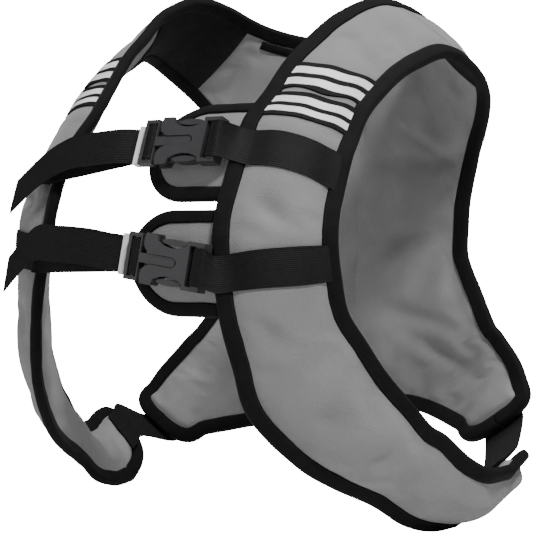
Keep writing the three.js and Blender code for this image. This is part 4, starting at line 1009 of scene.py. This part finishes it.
for level, span in STRAP_ROWS.items():
    for half, label, rows in ((left_front, "left", span), (right_front, "right", RIGHT_ROWS[level])):
        u = np.linspace(rows[0] + 0.06, rows[1] - 0.06, 24)
        for number, t in enumerate((0.925, 0.885)):
            p, n, high, _ = half.at(u, np.full(24, t))
            stitches(f"stitches_{label}_{level}_{number}", p + n * (high + 1.0 + WEB_THICK / 2 + 0.1), n)


def rounded_copy(node_name, width, material, segments=3):
    """A CAD node's own solid, merged, its flat faces joined, and its edges rounded."""
    mesh = bpy.data.objects[node_name].data.copy()
    bm = bmesh.new()
    bm.from_mesh(mesh)
    bmesh.ops.remove_doubles(bm, verts=bm.verts, dist=2e-5)
    bmesh.ops.dissolve_limit(bm, angle_limit=math.radians(1.5), verts=bm.verts, edges=bm.edges)
    bm.to_mesh(mesh)
    bm.free()
    mesh.materials.clear()
    mesh.materials.append(material)
    mesh.name = f"{node_name}_rounded"
    piece = put(f"{node_name}_moulded", mesh)
    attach(piece, "root")
    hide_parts(node_name)
    edges = piece.modifiers.new("rounding", "BEVEL")
    edges.width, edges.segments, edges.limit_method = width * 0.001, segments, "ANGLE"
    edges.angle_limit = math.radians(32)
    edges.use_clamp_overlap = True
    mesh.shade_smooth()
    flat = piece.modifiers.new("flat_faces", "WEIGHTED_NORMAL")
    flat.keep_sharp = True


for level in FRAMES:
    rounded_copy(f"buckle_female_{level}", 0.7, dark_acetal)
    rounded_copy(f"buckle_male_{level}", 0.5, dark_acetal)
    rounded_copy(f"keeper_{level}", 0.35, white_keeper, segments=2)


PAD_LENGTH, PAD_HEIGHT, PAD_PUFF = 68, 68, 3
PAD_ROOT = 4.3         # from the centre edge of the left front to the pad's straight end
PAD_FLAT = 7           # its flat edge
PAD_LEG, PAD_TOP = 8, 3.6  # its binding's reach and height


def pad_place(level, along, high):
    """So far along -X from the centre edge of the left front, at a height up that edge."""
    axes, centre = FRAMES[level]
    base = centre + axes[1] * PROUD[level]
    run = left_front.edge_in[left_front.edge_u > 4]
    z = (base + axes[2] * np.asarray(high)[..., None])[..., 2]
    edge = along_run(z, run[:, 2], run)
    edge[..., 0] -= PAD_ROOT + GAP + along
    return edge + axes[1] * BEHIND


# A pad's grid runs from its outline to the line in its middle, whose end is the centre of the round end
r = PAD_HEIGHT / 2
a = np.linspace(0, math.pi, 37)
flat_part = np.linspace(0, PAD_LENGTH - r, 9)[:-1]
along = np.concatenate([flat_part, PAD_LENGTH - r + np.sin(a) * r, flat_part[::-1]])
high = np.concatenate([np.full(8, r), np.cos(a) * r, np.full(8, -r)])
spine = np.clip(along, 0, PAD_LENGTH - r)
w = np.linspace(0, 1, 9)[:, None]
x = np.clip((w * r - PAD_FLAT) / (r - PAD_FLAT), 0, 1)
for level, (axes, centre) in FRAMES.items():
    mid = pad_place(level, along * (1 - w) + spine * w, high * (1 - w))
    height = (EDGE / 2 + PAD_PUFF * (1 - (1 - x) ** PUFF_POWER))[..., None]
    height = height + 0.35 * waves(mid, 22, 7)[..., None] * smooth(x * 2)[..., None]
    n = -axes[1]
    rows, cols = mid.shape[:2]
    count = rows * cols
    points = np.concatenate([(mid + n * height).reshape(-1, 3), (mid - n * EDGE / 2).reshape(-1, 3)])
    faces = two_faces(rows, cols)
    faces += [[k + 1, k, k + count, k + 1 + count] for k in range(cols - 1)]
    side_ring = [i * cols for i in range(rows)] + [i * cols + cols - 1 for i in range(rows - 1, -1, -1)]
    faces += [[p0, p1, p1 + count, p0 + count] for p0, p1 in zip(side_ring, side_ring[1:])]
    points, faces = weld(points, faces)
    name = f"buckle_pad_{level}"
    panels.append(make_piece(name, points, outwards(points, faces), stands_for=name,
                             material=cloth_grey, levels=1))
    bind(f"pad_binding_{level}", mid[0], unit(mid[1] - mid[0]), np.broadcast_to(n, mid[0].shape),
         leg=PAD_LEG, top=PAD_TOP, seed=41)

# Second band behind the neck, under the neckline binding
band = np.array([[10, -3.3], [10.2, -4.7], [13.2, -5.1], [16.2, -4.7], [16.4, -3.3]])
halves_run = [edge_of(pair[1], 0, 2.6, NECK_ROW - 0.3) for pair in halves.values()]
path, inward, normal = join(halves_run[0], centre_stop(NECK_ROW, -1.0), back_way(halves_run[1]))
steps, path, inward, normal = even_stops(path, inward, normal, count=90)
rings = path[:, None] + inward[:, None] * band[:, 0, None] + normal[:, None] * band[:, 1, None]
points = rings.reshape(-1, 3)
make_piece("neck_tape", points, outwards(points, tube(rings)), uv=grid_uv(steps, band[:, 0]),
           stands_for="neck_tape", material=black_tape)

# Elastic from the outer face of each wing to the inner face of the front's end
ELASTIC_OFF = 5.15     # its middle above the middle surface at the bound edge
for name, (front, back) in halves.items():
    rows = []
    share = (ACROSS - 0.5)[:, None] * ELASTIC
    for half, along, off in (
            (back, -20, ELASTIC_OFF + 0.6), (back, -8, ELASTIC_OFF + 0.3), (back, 2, ELASTIC_OFF),
            (front, 2, -ELASTIC_OFF - 2), (front, -8, -ELASTIC_OFF - 2.3), (front, -17, -ELASTIC_OFF - 3.2)):
        rows.append(half.apex + half.reach * along + half.across_tip * share + half.plane * off)
    ribbon(f"side_strap_{name}", np.stack(rows), thick=ELASTIC_THICK, material=black_elastic)

# ---- Camera, floor and light -------------------------------------------------------------------
PHOTO_WIDTH, PHOTO_HEIGHT = 533, 545  # in pixels, as are the next two
FOCAL_LENGTH = 1908
AIM_AT = (300, 243)    # where the aimed point lies, from the left and from the top


def look():
    """The camera of the photograph: 34 degrees round to the wearer's left, level, 1.45 m away."""
    data = bpy.data.cameras.new("camera")
    camera = put("camera", data)
    turn = math.radians(34)
    aim = np.array([0, 15, -155])
    camera.location = (aim + 1450 * np.array([math.sin(turn), -math.cos(turn), 0])) * 0.001
    camera.rotation_euler = (math.radians(90), 0, turn)
    data.sensor_fit = "AUTO"
    data.sensor_width = 36
    data.lens = data.sensor_width * FOCAL_LENGTH / PHOTO_HEIGHT
    data.shift_x = (PHOTO_WIDTH / 2 - AIM_AT[0]) / PHOTO_HEIGHT
    data.shift_y = -(PHOTO_HEIGHT / 2 - AIM_AT[1]) / PHOTO_HEIGHT
    data.clip_start, data.clip_end = 0.05, 60
    bpy.context.scene.camera = camera


def floor_piece():
    """A wide sheet 1 mm under the vest."""
    size, z = 12.0, cad_box[0][2] - 0.001
    mesh = bpy.data.meshes.new("floor")
    corners = [(-size, -size, z), (size, -size, z), (size, size, z), (-size, size, z)]
    mesh.from_pydata(corners, [], [(0, 1, 2, 3)])
    mesh.materials.append(floor_material)
    put("floor", mesh)


def area_light(name, place_m, aim_m, size, power):
    """A square lamp at a place in metres, turned towards another, with its size in metres and its watts."""
    data = bpy.data.lights.new(name, "AREA")
    data.shape, data.size, data.energy = "SQUARE", size, power
    lamp = put(name, data)
    lamp.location = place_m
    way = np.array(aim_m) - np.array(place_m)
    yaw = math.atan2(way[1], way[0])
    pitch = math.atan2(way[2], math.hypot(way[0], way[1]))
    lamp.rotation_euler = (math.radians(90) + pitch, 0, yaw - math.radians(90))


look()
floor_piece()
world = bpy.data.worlds.new("studio")
world.use_nodes = True
sky = world.node_tree
seen = node(sky, "ShaderNodeLightPath").outputs["Is Camera Ray"]
strength = sums(sky, "MULTIPLY_ADD", seen, SKY_GLOW - SKY_LIGHT, SKY_LIGHT)
sky.nodes["Background"].inputs["Color"].default_value = linear("#ffffff")
sky.links.new(strength, sky.nodes["Background"].inputs["Strength"])
bpy.context.scene.world = world
area_light("key", (1.3, -0.8, 1.7), (0, 0, -0.15), 0.35, 52)
area_light("fill", (-1.6, -1.7, 0.5), (0, 0, -0.2), 1.4, 14)
area_light("top", (0.4, 0.1, 1.7), (0, 0, 0), 0.7, 26)
